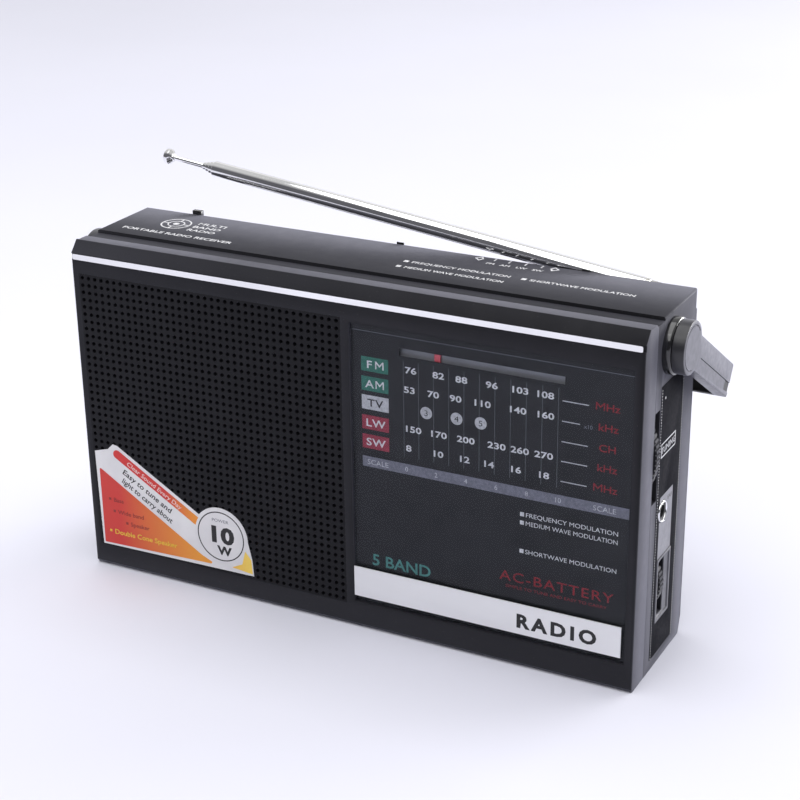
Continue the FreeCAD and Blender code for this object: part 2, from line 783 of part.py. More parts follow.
def circuit():
    """The main board and what stands on its front face. The board's screw heads are handed back."""
    board = block(0.5, 101.0, "board_at", BOARD_BACK, 46.5, 105.8)
    keep(board, "main_board")
    screws = [bar("Y", spot, "board_at - 1.5", "board_at", 2.4) for spot in BOARD_POSTS]
    can_side, can_low, core = 10, 84.0, 3.0
    transformers = []
    for x in (16.0, 30.0, 44.0, 58.0):
        middle = (x + can_side / 2, can_low + can_side / 2)
        can = block(x, x + can_side, "board_at - 12", "board_at", can_low, can_low + can_side)
        transformers.append(cut(can, [bar("Y", middle, "board_at - 14", "board_at", core)]))
        transformers.append(bar("Y", middle, "board_at - 11.4", "board_at", core - 0.1))
    keep(group(transformers), "intermediate_transformers")
    # each capacitor's place, radius and height
    capacitors = (
        (18.0, 60.0, 5.0, 16.0), (32.0, 58.0, 5.0, 16.0), (46.0, 56.0, 4.0, 11.0), (20.0, 74.0, 3.2, 9.0),
    )
    cans = [bar("Y", (x, z), f"board_at - {tall}", "board_at", radius) for x, z, radius, tall in capacitors]
    keep(group(cans), "electrolytic_capacitors")
    chip_front = "board_at - 4"
    keep(block(34.0, 54.0, chip_front, "board_at", 70.0, 76.5), "amplifier_chip")
    base_front, sink_low, sink_high = "board_at - 5", 69.0, 77.5
    fins = [block(35.0, 53.0, base_front, chip_front, sink_low, sink_high)]
    for x in (35.0, 40.7, 46.3, 52.0):
        fins.append(block(x, x + 1, "board_at - 11", base_front, sink_low, sink_high))
    keep(fused(fins), "heat_sink")
    return screws


def ferrite():
    """The ferrite rod with its two coils, in two forked holders that stand on the board."""
    centre = (24.0, 121.5)
    rod = 5.0
    half_length = 66.0
    roof = 128.6
    thick = 4
    keep(bar("X", centre, -half_length, half_length, rod), "ferrite_rod")
    coils = []
    for start, end in ((-52.0, -28.0), (30.0, 48.0)):
        winding = bar("X", centre, start, end, rod + 1.2)
        coils.append(cut(winding, [bar("X", centre, start - 1, end + 1, rod)]))
    keep(group(coils), "ferrite_coils")
    holders = []
    for x in (12.0, 54.0):
        arm = block(x, x + thick, 16.5, 33.0, 113.5, roof)
        leg = block(x, x + thick, BOARD_BACK, 35.0, 98.0, roof)
        holders.append(cut(fused([arm, leg]), [bar("X", centre, x - 1, x + thick + 1, rod)]))
    keep(group(holders), "rod_holders")


def band_switch():
    """A slide switch inside the back's top edge, and the ribbed cap that stands out behind."""
    shell = block(28.0, 66.0, 37.0, f"{INNER_BACK} - 0.1", 117.0, 128.6)
    track = block(31.0, 63.5, 44.0, 50.0, 121.8, 124.8)
    keep(cut(shell, [track]), "band_switch_body")
    cap_front, cap_back = 50.7, 53.2
    stem = block(36.3, 39.7, 44.4, cap_front + 0.7, 122.5, 124.1)
    cap = block(33.6, 42.4, cap_front, cap_back, 120.9, 125.3)
    ribs = [block(x, x + 0.8, cap_back, cap_back + 0.6, 121.2, 125.0) for x in (34.4, 36.3, 38.9, 40.8)]
    keep(fused([stem, cap] + ribs), "band_switch_knob")


def mains():
    """The mains transformer, and the two-pin inlet beside it."""
    core = block(-100.5, -73.0, 17.0, 41.0, 3.4, 30.4)
    windows = [block(x, x + 5.5, 16.0, 42.0, 8.0, 25.8) for x in (-96.5, -82.5)]
    keep(cut(core, windows), "transformer_core")
    winding = block(-96.4, -77.1, 13.5, 44.5, 8.1, 25.7)
    leg = block(-91.1, -82.4, 16.9, 41.1, 3.0, 31.0)
    keep(cut(winding, [leg]), "transformer_winding")
    up = 17.0
    socket_front = 38.0
    lobe = 4.1
    lobe_centres = (-66.3, -58.7)
    shell = block(-71.5, -53.5, 36.0, "case_depth - 0.2", up - 6.5, up + 6.5)
    lobes = [bar("Y", (x, up), socket_front, 52.0, lobe) for x in lobe_centres]
    bridge = block(*lobe_centres, socket_front, 52.0, up - 3.1, up + 3.1)
    keep(cut(shell, lobes + [bridge]), "mains_inlet")
    keep(group([bar("Y", (x, up), socket_front, 47.5, 1.2) for x in (-66.8, -58.2)]), "inlet_pins")


# ---- battery compartment ----

def batteries():
    """Two cells end to end in their tray, between a plate at the right and a spring at the left."""
    left, right, front, low, high = -52.5, 85.0, 12.4, 2.6, 45.0
    tray_wall = 1.5
    tray = block(left, right, front, f"{INNER_BACK} - 0.2", low, high)
    space = block(left + tray_wall, right - 1.4, front + 1.0, 60.0, low + 1.8, high - 1.2)
    keep(cut(tray, [space]), "battery_tray")
    centre = ("cell_at", "cell_up")
    stud = 4.6
    cells = []
    for i in range(2):
        start = f"-cell_left + {i} * cell_length"
        body = bar("X", centre, start, f"{start} + cell_length - 2.0", "cell_radius")
        cap = bar("X", centre, start, f"{start} + cell_length - 0.1", stud)
        cells.append(fused([body, cap]))
    keep(group(cells), "battery_cells")
    plate_left = 82.7
    half = 11
    plate = block(
        plate_left, plate_left + 0.8, f"cell_at - {half}", f"cell_at + {half}",
        f"cell_up - {half}", f"cell_up + {half}",
    )
    contact = bar("X", centre, "2 * cell_length - cell_left", plate_left, 5.5)
    coil_radius, turns, wire, coil_length = 7.0, 3.0, 0.5, 5.4
    helix = Part.makeLongHelix(coil_length / turns, coil_length, coil_radius)
    section = Part.Wire([Part.Circle(Vector(coil_radius, 0, 0), Vector(0, 1, 0), wire).toShape()])
    spring = doc.addObject("Part::Feature", "spring")
    spring.Shape = Part.Wire(helix.Edges).makePipeShell([section], True, False)
    seat = Vector(left + tray_wall + 0.1 + wire, FRONT + size("cell_at"), size("cell_up"))
    spring.Placement = Placement(seat, Rotation(Vector(0, 1, 0), 90))
    keep(group([fused([plate, contact]), spring]), "battery_contacts")


def battery_cover():
    """The battery door: a flat skin on a round hinge bar, a thicker middle and a thumb recess."""
    skin_front = "case_depth - door_thick"
    hinge = bar("X", ("case_depth - door_hinge", "door_low"), "-door_left", "door_right", "door_hinge")
    face = block("-door_left", "door_right", skin_front, "case_depth", "door_low", "door_high")
    left, low, right, high = DOOR_OPENING
    inner = block(left + 0.3, right - 0.3, f"{skin_front} - 0.7", skin_front, low + 0.3, high - 0.3)
    thumb = block(12.0, 26.0, "case_depth - 0.7", "case_depth + 1", 36.0, 41.5)
    keep(cut(fused([hinge, face, inner]), [thumb]), "battery_cover")


# ---- handle ----

def handle():
    """Two arms and the grip between them, on pins through round bosses."""
    lean = Rotation(Vector(1, 0, 0), SIZES["arm_angle"])
    half = "arm_width / 2"
    pivot = ("case_depth / 2", "pivot_up")
    groove = 0.5
    bore_depth = 2.6
    pin_inside, pin_outside = 4.4, 5.2
    washer_thick = 2.1
    bosses = []
    pins = []
    for side, sign in (("right", 1), ("left", -1)):
        right = sign > 0
        start = "arm_inner" if right else "-arm_inner - arm_thick"
        arm = new_body(f"handle_arm_{side}")
        strap = rectangle(0, f"-{half}", "arm_reach", half)
        add_material(arm, "YZ_Plane", start, "arm_thick", [strap])
        add_material(arm, "YZ_Plane", start, "arm_thick", circles=[(0, 0, "boss_radius - 0.6")])
        outside = f"arm_inner + arm_thick - {groove}" if right else "-arm_inner - arm_thick"
        notch = rectangle("arm_reach - 8", -5.2, "arm_reach + 1", -0.8)
        cut_material(arm, "YZ_Plane", outside, groove, [notch])
        bore = "arm_inner" if right else f"-arm_inner - {bore_depth}"
        cut_material(arm, "YZ_Plane", bore, bore_depth, circles=[(0, 0, "pin_radius + 0.05")])
        set_place(arm, ((0, 0, "pivot_up"), lean))
        boss_start = HALF if right else f"-{HALF} - boss_height"
        boss_end = f"{boss_start} + boss_height"
        hole = bar("X", pivot, f"{boss_start} - 1", f"{boss_end} + 1", "pin_radius")
        bosses.append(cut(bar("X", pivot, boss_start, boss_end, "boss_radius"), [hole]))
        pin_start = f"{HALF} - {pin_inside}" if right else f"-{HALF} - {pin_outside}"
        pin = bar("X", pivot, pin_start, f"{pin_start} + {pin_inside + pin_outside}", "pin_radius")
        washer_start = f"{HALF} - {pin_inside}" if right else f"-{HALF} + {pin_inside - washer_thick}"
        washer = bar("X", pivot, washer_start, f"{washer_start} + {washer_thick}", 4.6)
        pins.append(fused([pin, washer]))
    keep(group(bosses), "handle_bosses")
    keep(group(pins), "handle_pins")
    grip = new_body("handle_grip")
    section = rectangle("arm_reach - grip_thick", f"-{half}", "arm_reach", half)
    add_material(grip, "YZ_Plane", "-arm_inner", "2 * arm_inner", [section])
    set_place(grip, ((0, 0, "pivot_up"), lean))


# ---- telescopic aerial ----

def aerial_base():
    """The bracket on the back and the forked swivel that stands in it. Its screws are handed back."""
    post = ("aerial_across", "aerial_at")
    half = 5.6
    foot_high = "(aerial_up - foot_drop)"
    bracket_high = f"({foot_high} - 2.2)"
    left, right = f"aerial_across - {half}", f"aerial_across + {half}"
    bracket = block(left, right, "case_depth", "case_depth + 6", 112.4, bracket_high)
    keep(cut(bracket, [bar("Z", post, 114.4, "aerial_up", 2.05)]), "aerial_bracket")
    screws = []
    for spot in BRACKET_SCREWS:
        shank = bar("Y", spot, INNER_BACK, "case_depth", 1.0)
        screws.append(fused([shank, bar("Y", spot, f"{INNER_BACK} - 1.4", INNER_BACK, 2.2)]))
    fork, slit, ear_high = 2.4, 1.45, "aerial_up + 1.6"
    slot = block(
        "aerial_across - 4", "aerial_across + 4", f"aerial_at - {slit}", f"aerial_at + {slit}",
        foot_high, f"{ear_high} + 1",
    )
    head = cut(bar("Z", post, bracket_high, ear_high, fork), [slot])
    stem = bar("Z", post, 114.6, f"{bracket_high} + 0.5", 2.0)
    rivet = bar("Y", ("aerial_across", "aerial_up"), "aerial_at - 2.9", "aerial_at + 2.9", "rivet_radius")
    keep(fused([stem, head, rivet]), "aerial_swivel")
    return screws


def aerial():
    """The hinged knuckle, four tubes and the rod, each along its own X from the tilt pivot."""
    pivot = ("aerial_across", at("aerial_at"), "aerial_up")
    place = (pivot, Rotation(Vector(0, 1, 0), 180 + SIZES["aerial_tilt"]))
    wall = "(tube_step - tube_gap)"
    tongue_half, tongue_height = 1.35, 2.2
    stub_start = 3.6
    knuckle = new_body("aerial_knuckle")
    tongue = rectangle(0, -tongue_height, 6.5, tongue_height)
    add_material(knuckle, "XZ_Plane", -tongue_half, 2 * tongue_half, [tongue])
    add_material(knuckle, "XZ_Plane", -tongue_half, 2 * tongue_half, circles=[(0, 0, tongue_height)])
    add_material(knuckle, "YZ_Plane", stub_start, f"tube_start - {stub_start}", circles=[(0, 0, 2.9)])
    add_material(knuckle, "YZ_Plane", "tube_start", 4.0, circles=[(0, 0, f"tube_radius - {wall}")])
    cut_material(knuckle, "XZ_Plane", -3, 6, circles=[(0, 0, "rivet_radius + 0.05")])
    set_place(knuckle, place)
    for number in range(1, 5):
        outer = f"tube_radius - {number - 1} * tube_step"
        inner = f"{outer} - {wall}"
        start = "tube_start" if number == 1 else f"tube_start + 4.4 + {number} * 1.4"
        end = f"tube_end + {number - 1} * collar"
        profile = [
            (start, inner), (start, outer), (f"{end} - 0.3", outer), (end, f"{outer} - 0.2"), (end, inner),
        ]
        turned(f"aerial_tube_{number}", profile, place)
    rod_start = "tube_start + 25"
    rod_radius = "tube_radius - 4 * tube_step"
    tip = "tube_end + 3 * collar + rod_out"
    # the button on the rod's end, as (distance beyond the rod, radius)
    button = ((0, 1.6), (0.5, 1.7), (0.9, 2.6), (1.4, 2.95), (3.2, 2.95), (3.8, 2.5), (4.0, 1.6), (4.0, 0))
    profile = [(rod_start, 0), (rod_start, rod_radius), (tip, rod_radius)]
    profile += [(f"{tip} + {beyond}", radius) for beyond, radius in button]
    turned("aerial_rod", profile, place)


def aerial_clip():
    """The hook that holds the lowered aerial's rod, and two thin rests beside the band switch."""
    back_face = "case_depth - band_sink"
    left, right, finger_right = -91.0, -88.6, -87.0
    low = 125.4
    finger_back = "aerial_at - 1.7"
    lip_front, lip_back = "aerial_at + 1.3", "aerial_at + 2.1"
    finger = block(left, finger_right, back_face, finger_back, low, "case_height + 1.5")
    seat = block(left, right, finger_back, lip_back, low, "aerial_up - 1.1")
    lip = block(left, right, lip_front, lip_back, low, "aerial_up + 0.4")
    rests = [fused([finger, seat, lip])]
    for x in (-2.4, 70.2):
        rests.append(block(x, x + 3.0, back_face, f"{back_face} + 0.4", 127.0, "case_height + 0.8"))
    keep(group(rests), "aerial_clip")


# ---- fasteners and label ----

def case_screws():
    """Four long screws from the wells in the back into the front case's posts."""
    screws = []
    for spot in POSTS:
        head = bar("Y", spot, SCREW_SEAT, SCREW_SEAT + 2, 2.7)
        shank = bar("Y", spot, 5.0, SCREW_SEAT + 0.5, "screw_radius")
        screws.append(fused([head, shank]))
    keep(group(screws), "case_screws")


def sticker():
    """A paper label: a slanted top edge from a stepped shoulder down to a round badge, then a tail."""
    thick = 0.12
    y = FRONT - thick
    badge = Vector(-53.0, y, 24.4)
    radius = 11.9
    shoulder = Vector(-98.2, y, 53.0)
    slope = math.radians(-30.8)
    along = Vector(math.cos(slope), 0, math.sin(slope))
    # where the slanted edge runs into the badge
    offset = badge - shoulder
    nearest = offset.dot(along)
    miss = math.sqrt(offset.Length ** 2 - nearest ** 2)
    meeting = shoulder + along * (nearest - math.sqrt(radius ** 2 - miss ** 2))
    outward = Vector(0.5, 0, 0.87).normalize()
    right = badge + Vector(radius, 0, 0)
    corner = Vector(-39.5, y, 17.4)
    low_right = Vector(-39.0, y, 10.6)
    low_left = Vector(-108.1, y, 9.6)
    left_top = Vector(-108.9, y, 49.1)
    crest = Vector(-102.8, y, 50.9)
    bend = Vector(-100.2, y, 53.4)
    edges = [
        Part.LineSegment(low_left, left_top), Part.LineSegment(left_top, crest),
        Part.LineSegment(crest, bend), Part.LineSegment(bend, shoulder),
        Part.LineSegment(shoulder, meeting), Part.Arc(meeting, badge + outward * radius, right),
        Part.LineSegment(right, corner), Part.LineSegment(corner, low_right),
        Part.LineSegment(low_right, low_left),
    ]
    face = Part.Face(Part.Wire([edge.toShape() for edge in edges]))
    made("sticker", face.extrude(Vector(0, thick, 0)))


front_case()
rear_case()
trim_strip()
speaker_grille()
dial_window()
dial_plate()
name_strip()
pointer_rail()
pointer()
side_panel()
volume_bezel()
earphone_socket()
loose_screws = speaker()
tuning()
loose_screws.append(volume())
dial_cord()
cord_pulleys()
loose_screws += circuit()
ferrite()
band_switch()
mains()
batteries()
battery_cover()
handle()
loose_screws += aerial_base()
aerial()
keep(group(loose_screws), "small_screws")
aerial_clip()
case_screws()
sticker()
doc.recompute()

faults = [f"{thing.Name}: {thing.State}" for thing in doc.Objects if {"Invalid", "Error"} & set(thing.State)]
for node in NODES:
    if node.Shape.isNull() or not node.Shape.isValid():
        faults.append(f"{node.Label}: bad shape")
if faults:
    raise RuntimeError("; ".join(faults))

os.makedirs("parts", exist_ok=True)
for node in NODES:
    node.Shape.exportStep(f"parts/{node.Label}.step")
print(len(NODES), "nodes")
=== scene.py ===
import json
import math

import bmesh
import bpy
from mathutils import Matrix, Vector


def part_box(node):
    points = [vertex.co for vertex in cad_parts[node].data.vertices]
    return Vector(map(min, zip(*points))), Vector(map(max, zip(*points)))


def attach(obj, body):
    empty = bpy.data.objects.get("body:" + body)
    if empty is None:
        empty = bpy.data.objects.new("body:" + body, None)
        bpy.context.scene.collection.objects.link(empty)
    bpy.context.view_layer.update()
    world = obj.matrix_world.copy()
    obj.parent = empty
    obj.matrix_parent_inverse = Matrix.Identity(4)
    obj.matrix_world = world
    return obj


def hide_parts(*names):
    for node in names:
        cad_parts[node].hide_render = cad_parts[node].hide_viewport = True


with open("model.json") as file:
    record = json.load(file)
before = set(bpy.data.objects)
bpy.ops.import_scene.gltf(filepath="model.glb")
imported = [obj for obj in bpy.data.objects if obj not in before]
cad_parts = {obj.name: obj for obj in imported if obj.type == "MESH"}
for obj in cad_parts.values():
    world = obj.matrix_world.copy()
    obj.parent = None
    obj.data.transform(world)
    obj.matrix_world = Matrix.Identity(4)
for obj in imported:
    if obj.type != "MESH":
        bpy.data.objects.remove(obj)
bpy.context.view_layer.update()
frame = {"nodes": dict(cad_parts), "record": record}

# The looks of a portable world-band radio. Blender's lengths are metres; the shapes below are worked
# out in millimetres and scaled once, when a piece is made. +X is right, +Y back and +Z up.

MM = 0.001
scene = bpy.context.scene
X, Y, Z = Vector((1, 0, 0)), Vector((0, 1, 0)), Vector((0, 0, 1))


def box(node):
    """A CAD node's lowest and highest corners, in millimetres."""
    low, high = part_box(node)
    return low / MM, high / MM


BACK = box("rear_case")[1].y
TOP = box("rear_case")[1].z
RIGHT = box("rear_case")[1].x
LEFT = -RIGHT
JOINTS = {joint["name"]: joint for joint in frame["record"]["behaviour"]["joints"]}


# ---- camera, light and floor ----

CAMERA_AT = (0.2966, -0.5459, 0.3371)
CAMERA_AZIMUTH, CAMERA_ELEVATION, CAMERA_ROLL = (math.radians(a) for a in (27.64, 23.40, -0.72))
CAMERA_LENS = 82.9
CAMERA_RISE = 0.0375
# name, place, what it points at, width, height, watts
LIGHTS = (
    ("key_light", (-0.1, -0.15, 1.7), (0, -0.15, 0), 1.8, 1.6, 19),
    ("side_light", (1.05, 1.45, 0.26), (0.1, 0, 0.06), 1.3, 0.5, 30),
    ("back_light", (-0.75, 1.9, 0.95), (0, 0, 0.12), 3.2, 1.4, 4),
    ("front_light", (0.1, -1.5, 1.7), (0, -0.25, 0), 1.6, 1.0, 13),
)
WORLD_DIM, WORLD_BRIGHT = (0.20, 0.20, 0.22, 1), (1.0, 1.0, 1.0, 1)
WORLD_STRENGTH = 0.66
WORLD_RISE = 0.9     # how much height counts beside depth in the world's gradient
WORLD_FULL = 0.55    # where on that gradient the world is at its brightest


def make_camera():
    az, el = CAMERA_AZIMUTH, CAMERA_ELEVATION
    toward = Vector((math.sin(az) * math.cos(el), -math.cos(az) * math.cos(el), math.sin(el)))
    across = Z.cross(toward).normalized()
    up = toward.cross(across)
    turn = Matrix.Rotation(CAMERA_ROLL, 3, toward)
    across, up = turn @ across, turn @ up
    data = bpy.data.cameras.new("camera")
    data.lens = CAMERA_LENS
    data.shift_y = CAMERA_RISE
    camera = bpy.data.objects.new("camera", data)
    camera.matrix_world = Matrix.Translation(CAMERA_AT) @ Matrix((across, up, toward)).transposed().to_4x4()
    scene.collection.objects.link(camera)
    scene.camera = camera


def make_softbox(name, centre, target, width, height, watts):
    data = bpy.data.lights.new(name, "AREA")
    data.shape = "RECTANGLE"
    data.size, data.size_y = width, height
    data.energy = watts
    lamp = bpy.data.objects.new(name, data)
    lamp.location = centre
    lamp.rotation_euler = (Vector(target) - Vector(centre)).to_track_quat("-Z", "Y").to_euler()
    scene.collection.objects.link(lamp)


def make_world():
    """A pale studio: bright behind and above the radio, dim towards its front."""
    world = bpy.data.worlds.new("studio")
    world.use_nodes = True
    tree = world.node_tree
    background = tree.nodes["Background"]
    direction = tree.nodes.new("ShaderNodeTexCoord").outputs["Generated"]
    split = tree.nodes.new("ShaderNodeSeparateXYZ")
    tree.links.new(direction, split.inputs[0])
    rise = tree.nodes.new("ShaderNodeMath")
    rise.operation = "MULTIPLY_ADD"
    rise.inputs[1].default_value = WORLD_RISE
    tree.links.new(split.outputs["Z"], rise.inputs[0])
    tree.links.new(split.outputs["Y"], rise.inputs[2])
    ramp = tree.nodes.new("ShaderNodeValToRGB")
    ramp.color_ramp.elements[0].position = 0.0
    ramp.color_ramp.elements[0].color = WORLD_DIM
    ramp.color_ramp.elements[1].position = WORLD_FULL
    ramp.color_ramp.elements[1].color = WORLD_BRIGHT
    background.inputs["Strength"].default_value = WORLD_STRENGTH
    tree.links.new(rise.outputs[0], ramp.inputs[0])
    tree.links.new(ramp.outputs["Color"], background.inputs["Color"])
    scene.world = world
    scene.view_settings.view_transform = "Standard"


# ---- materials ----

def srgb(red, green, blue):
    """A display colour, 0 to 255, as linear light."""
    levels = [value / 255 for value in (red, green, blue)]
    return tuple(v / 12.92 if v <= 0.04045 else ((v + 0.055) / 1.055) ** 2.4 for v in levels) + (1.0,)


class Look:
    """One material's node tree. Texture sizes are in millimetres."""

    def __init__(self, name):
        self.material = bpy.data.materials.new(name)
        self.material.use_nodes = True
        self.tree = self.material.node_tree
        self.shader = self.tree.nodes["Principled BSDF"]
        self.place = self.tree.nodes.new("ShaderNodeTexCoord").outputs["Object"]
        self.normal = None

    def add(self, kind, *feeds, **settings):
        """Adds a node, sets its attributes, and feeds its first inputs with sockets or plain values."""
        node = self.tree.nodes.new(kind)
        for key, value in settings.items():
            setattr(node, key, value)
        for socket, feed in zip(node.inputs, feeds):
            if isinstance(feed, bpy.types.NodeSocket):
                self.tree.links.new(feed, socket)
            elif feed is not None:
                socket.default_value = feed
        return node

    def where(self, stretch):
        """Texture coordinates, with features stretched by a factor along each axis."""
        if stretch is None:
            return self.place
        node = self.add("ShaderNodeMapping", self.place)
        node.inputs["Scale"].default_value = [1 / factor for factor in stretch]
        return node.outputs[0]

    def noise(self, feature, detail=3.0, stretch=None):
        node = self.add("ShaderNodeTexNoise", self.where(stretch))
        node.inputs["Scale"].default_value = 1 / (feature * MM)
        node.inputs["Detail"].default_value = detail
        return node.outputs[0]

    def cells(self, feature, stretch=None):
        node = self.add("ShaderNodeTexVoronoi", self.where(stretch))
        node.inputs["Scale"].default_value = 1 / (feature * MM)
        return node.outputs["Distance"]

    def bands(self, axis, feature, wobble=0.0):
        """Even stripes across an axis, one each feature mm."""
        node = self.add("ShaderNodeTexWave", self.place, wave_type="BANDS", bands_direction=axis)
        node.inputs["Scale"].default_value = math.pi / (10 * feature * MM)
        node.inputs["Distortion"].default_value = wobble
        return node.outputs["Fac"]

    def spread(self, value, low, high, start=0.35, end=0.65):
        """value, between start and end, spread over low to high."""
        return self.add("ShaderNodeMapRange", value, start, end, low, high).outputs[0]

    def between(self, value, first, second, start=0.35, end=0.65):
        """A colour between two, as value goes from start to end."""
        node = self.add("ShaderNodeMix", data_type="RGBA")
        self.tree.links.new(self.spread(value, 0.0, 1.0, start, end), node.inputs[0])
        for socket, feed in zip((node.inputs[6], node.inputs[7]), (first, second)):
            if isinstance(feed, bpy.types.NodeSocket):
                self.tree.links.new(feed, socket)
            else:
                socket.default_value = feed
        return node.outputs[2]

    def feed(self, name, value):
        if isinstance(value, bpy.types.NodeSocket):
            self.tree.links.new(value, self.shader.inputs[name])
        else:
            self.shader.inputs[name].default_value = value

    def bump(self, value, depth):
        """Raises the surface by up to depth mm where value is high, on top of any earlier bump."""
        node = self.add("ShaderNodeBump")
        node.inputs["Distance"].default_value = depth * MM
        self.tree.links.new(value, node.inputs["Height"])
        if self.normal is not None:
            self.tree.links.new(self.normal, node.inputs["Normal"])
        self.normal = node.outputs[0]
        self.tree.links.new(self.normal, self.shader.inputs["Normal"])


def surface(name, first, second, rough, patch=12.0, grain=0.4, depth=0.004, metal=0.0, gloss=0.5,
            stretch=None, coat=0.0, sheen=0.0):
    """A finish with mottled colour, uneven roughness and a fine grain.

    Sheen is the veil seen at a glancing angle.
    """
    look = Look(name)
    look.feed("Base Color", look.between(look.noise(patch, 4.0, stretch), first, second))
    look.feed("Roughness", look.spread(look.noise(patch / 4, 5.0, stretch), *rough))
    look.feed("Metallic", metal)
    look.feed("Specular IOR Level", gloss)
    look.feed("Coat Weight", coat)
    look.feed("Sheen Weight", sheen)
    look.feed("Sheen Roughness", 0.5)
    look.feed("Sheen Tint", srgb(235, 235, 255))
    look.bump(look.noise(grain, 2.0, stretch), depth)
    return look


def finish(name, first, second, *settings, **more):
    """A surface's material. Its two colours are given as on a display, 0 to 255."""
    return surface(name, srgb(*first), srgb(*second), *settings, **more).material


def moulded_plastic(name, level, rough, depth, sheen):
    """Black plastic with a fine spark-eroded grain, faint handling marks and specks of dust."""
    dark = srgb(level - 3, level - 3, level)
    light = srgb(level + 3, level + 3, level + 6)
    look = surface(name, dark, light, rough, patch=18.0, grain=0.32, depth=depth, gloss=0.12, sheen=sheen)
    specks = look.noise(0.5, 1.0)
    body = look.between(look.noise(18.0, 4.0), dark, light)
    look.feed("Base Color", look.between(specks, body, srgb(level + 40, level + 40, level + 42), 0.74, 0.80))
    look.bump(look.cells(0.55), depth * 0.8)
    return look.material


def ink(name, colour, rough=0.45):
    """Screen-printed ink: a little thin in places."""
    faded = tuple(0.72 * value for value in colour[:3]) + (1.0,)
    look = surface(name, faded, colour, (rough - 0.06, rough + 0.08), patch=0.9, grain=0.15, depth=0.002)
    return look.material


def clear_pane(name, tint, ior):
    """A thin clear sheet: tinted see-through, mirroring a little more at a glancing angle."""
    look = Look(name)
    clear = look.add("ShaderNodeBsdfTransparent", tint)
    gloss = look.add("ShaderNodeBsdfGlossy")
    gloss.inputs["Color"].default_value = srgb(150, 150, 156)
    look.tree.links.new(look.spread(look.noise(25.0, 2.0), 0.02, 0.05), gloss.inputs["Roughness"])
    glance = look.add("ShaderNodeFresnel", ior)
    inside = look.add("ShaderNodeNewGeometry").outputs["Backfacing"]
    outside = look.add("ShaderNodeMath", 1.0, inside, operation="SUBTRACT")
    mirror = look.add("ShaderNodeMath", glance.outputs[0], outside.outputs[0], operation="MULTIPLY")
    mix = look.add("ShaderNodeMixShader", mirror.outputs[0], clear.outputs[0], gloss.outputs[0])
    look.tree.links.new(mix.outputs[0], look.tree.nodes["Material Output"].inputs["Surface"])
    look.tree.nodes.remove(look.shader)
    return look.material


def blended(name, first, second, start, end):
    """Printed paper whose colour runs from first to second between two places, in mm, along X."""
    look = Look(name)
    split = look.add("ShaderNodeSeparateXYZ", look.place)
    drift = look.add("ShaderNodeMath", look.noise(1.2), 0.002, operation="MULTIPLY")
    along = look.add("ShaderNodeMath", split.outputs["X"], drift.outputs[0], operation="ADD")
    look.feed("Base Color", look.between(along.outputs[0], first, second, start * MM, end * MM))
    look.feed("Roughness", look.spread(look.noise(4.0), 0.28, 0.4))
    look.bump(look.noise(0.3), 0.002)
    return look.material


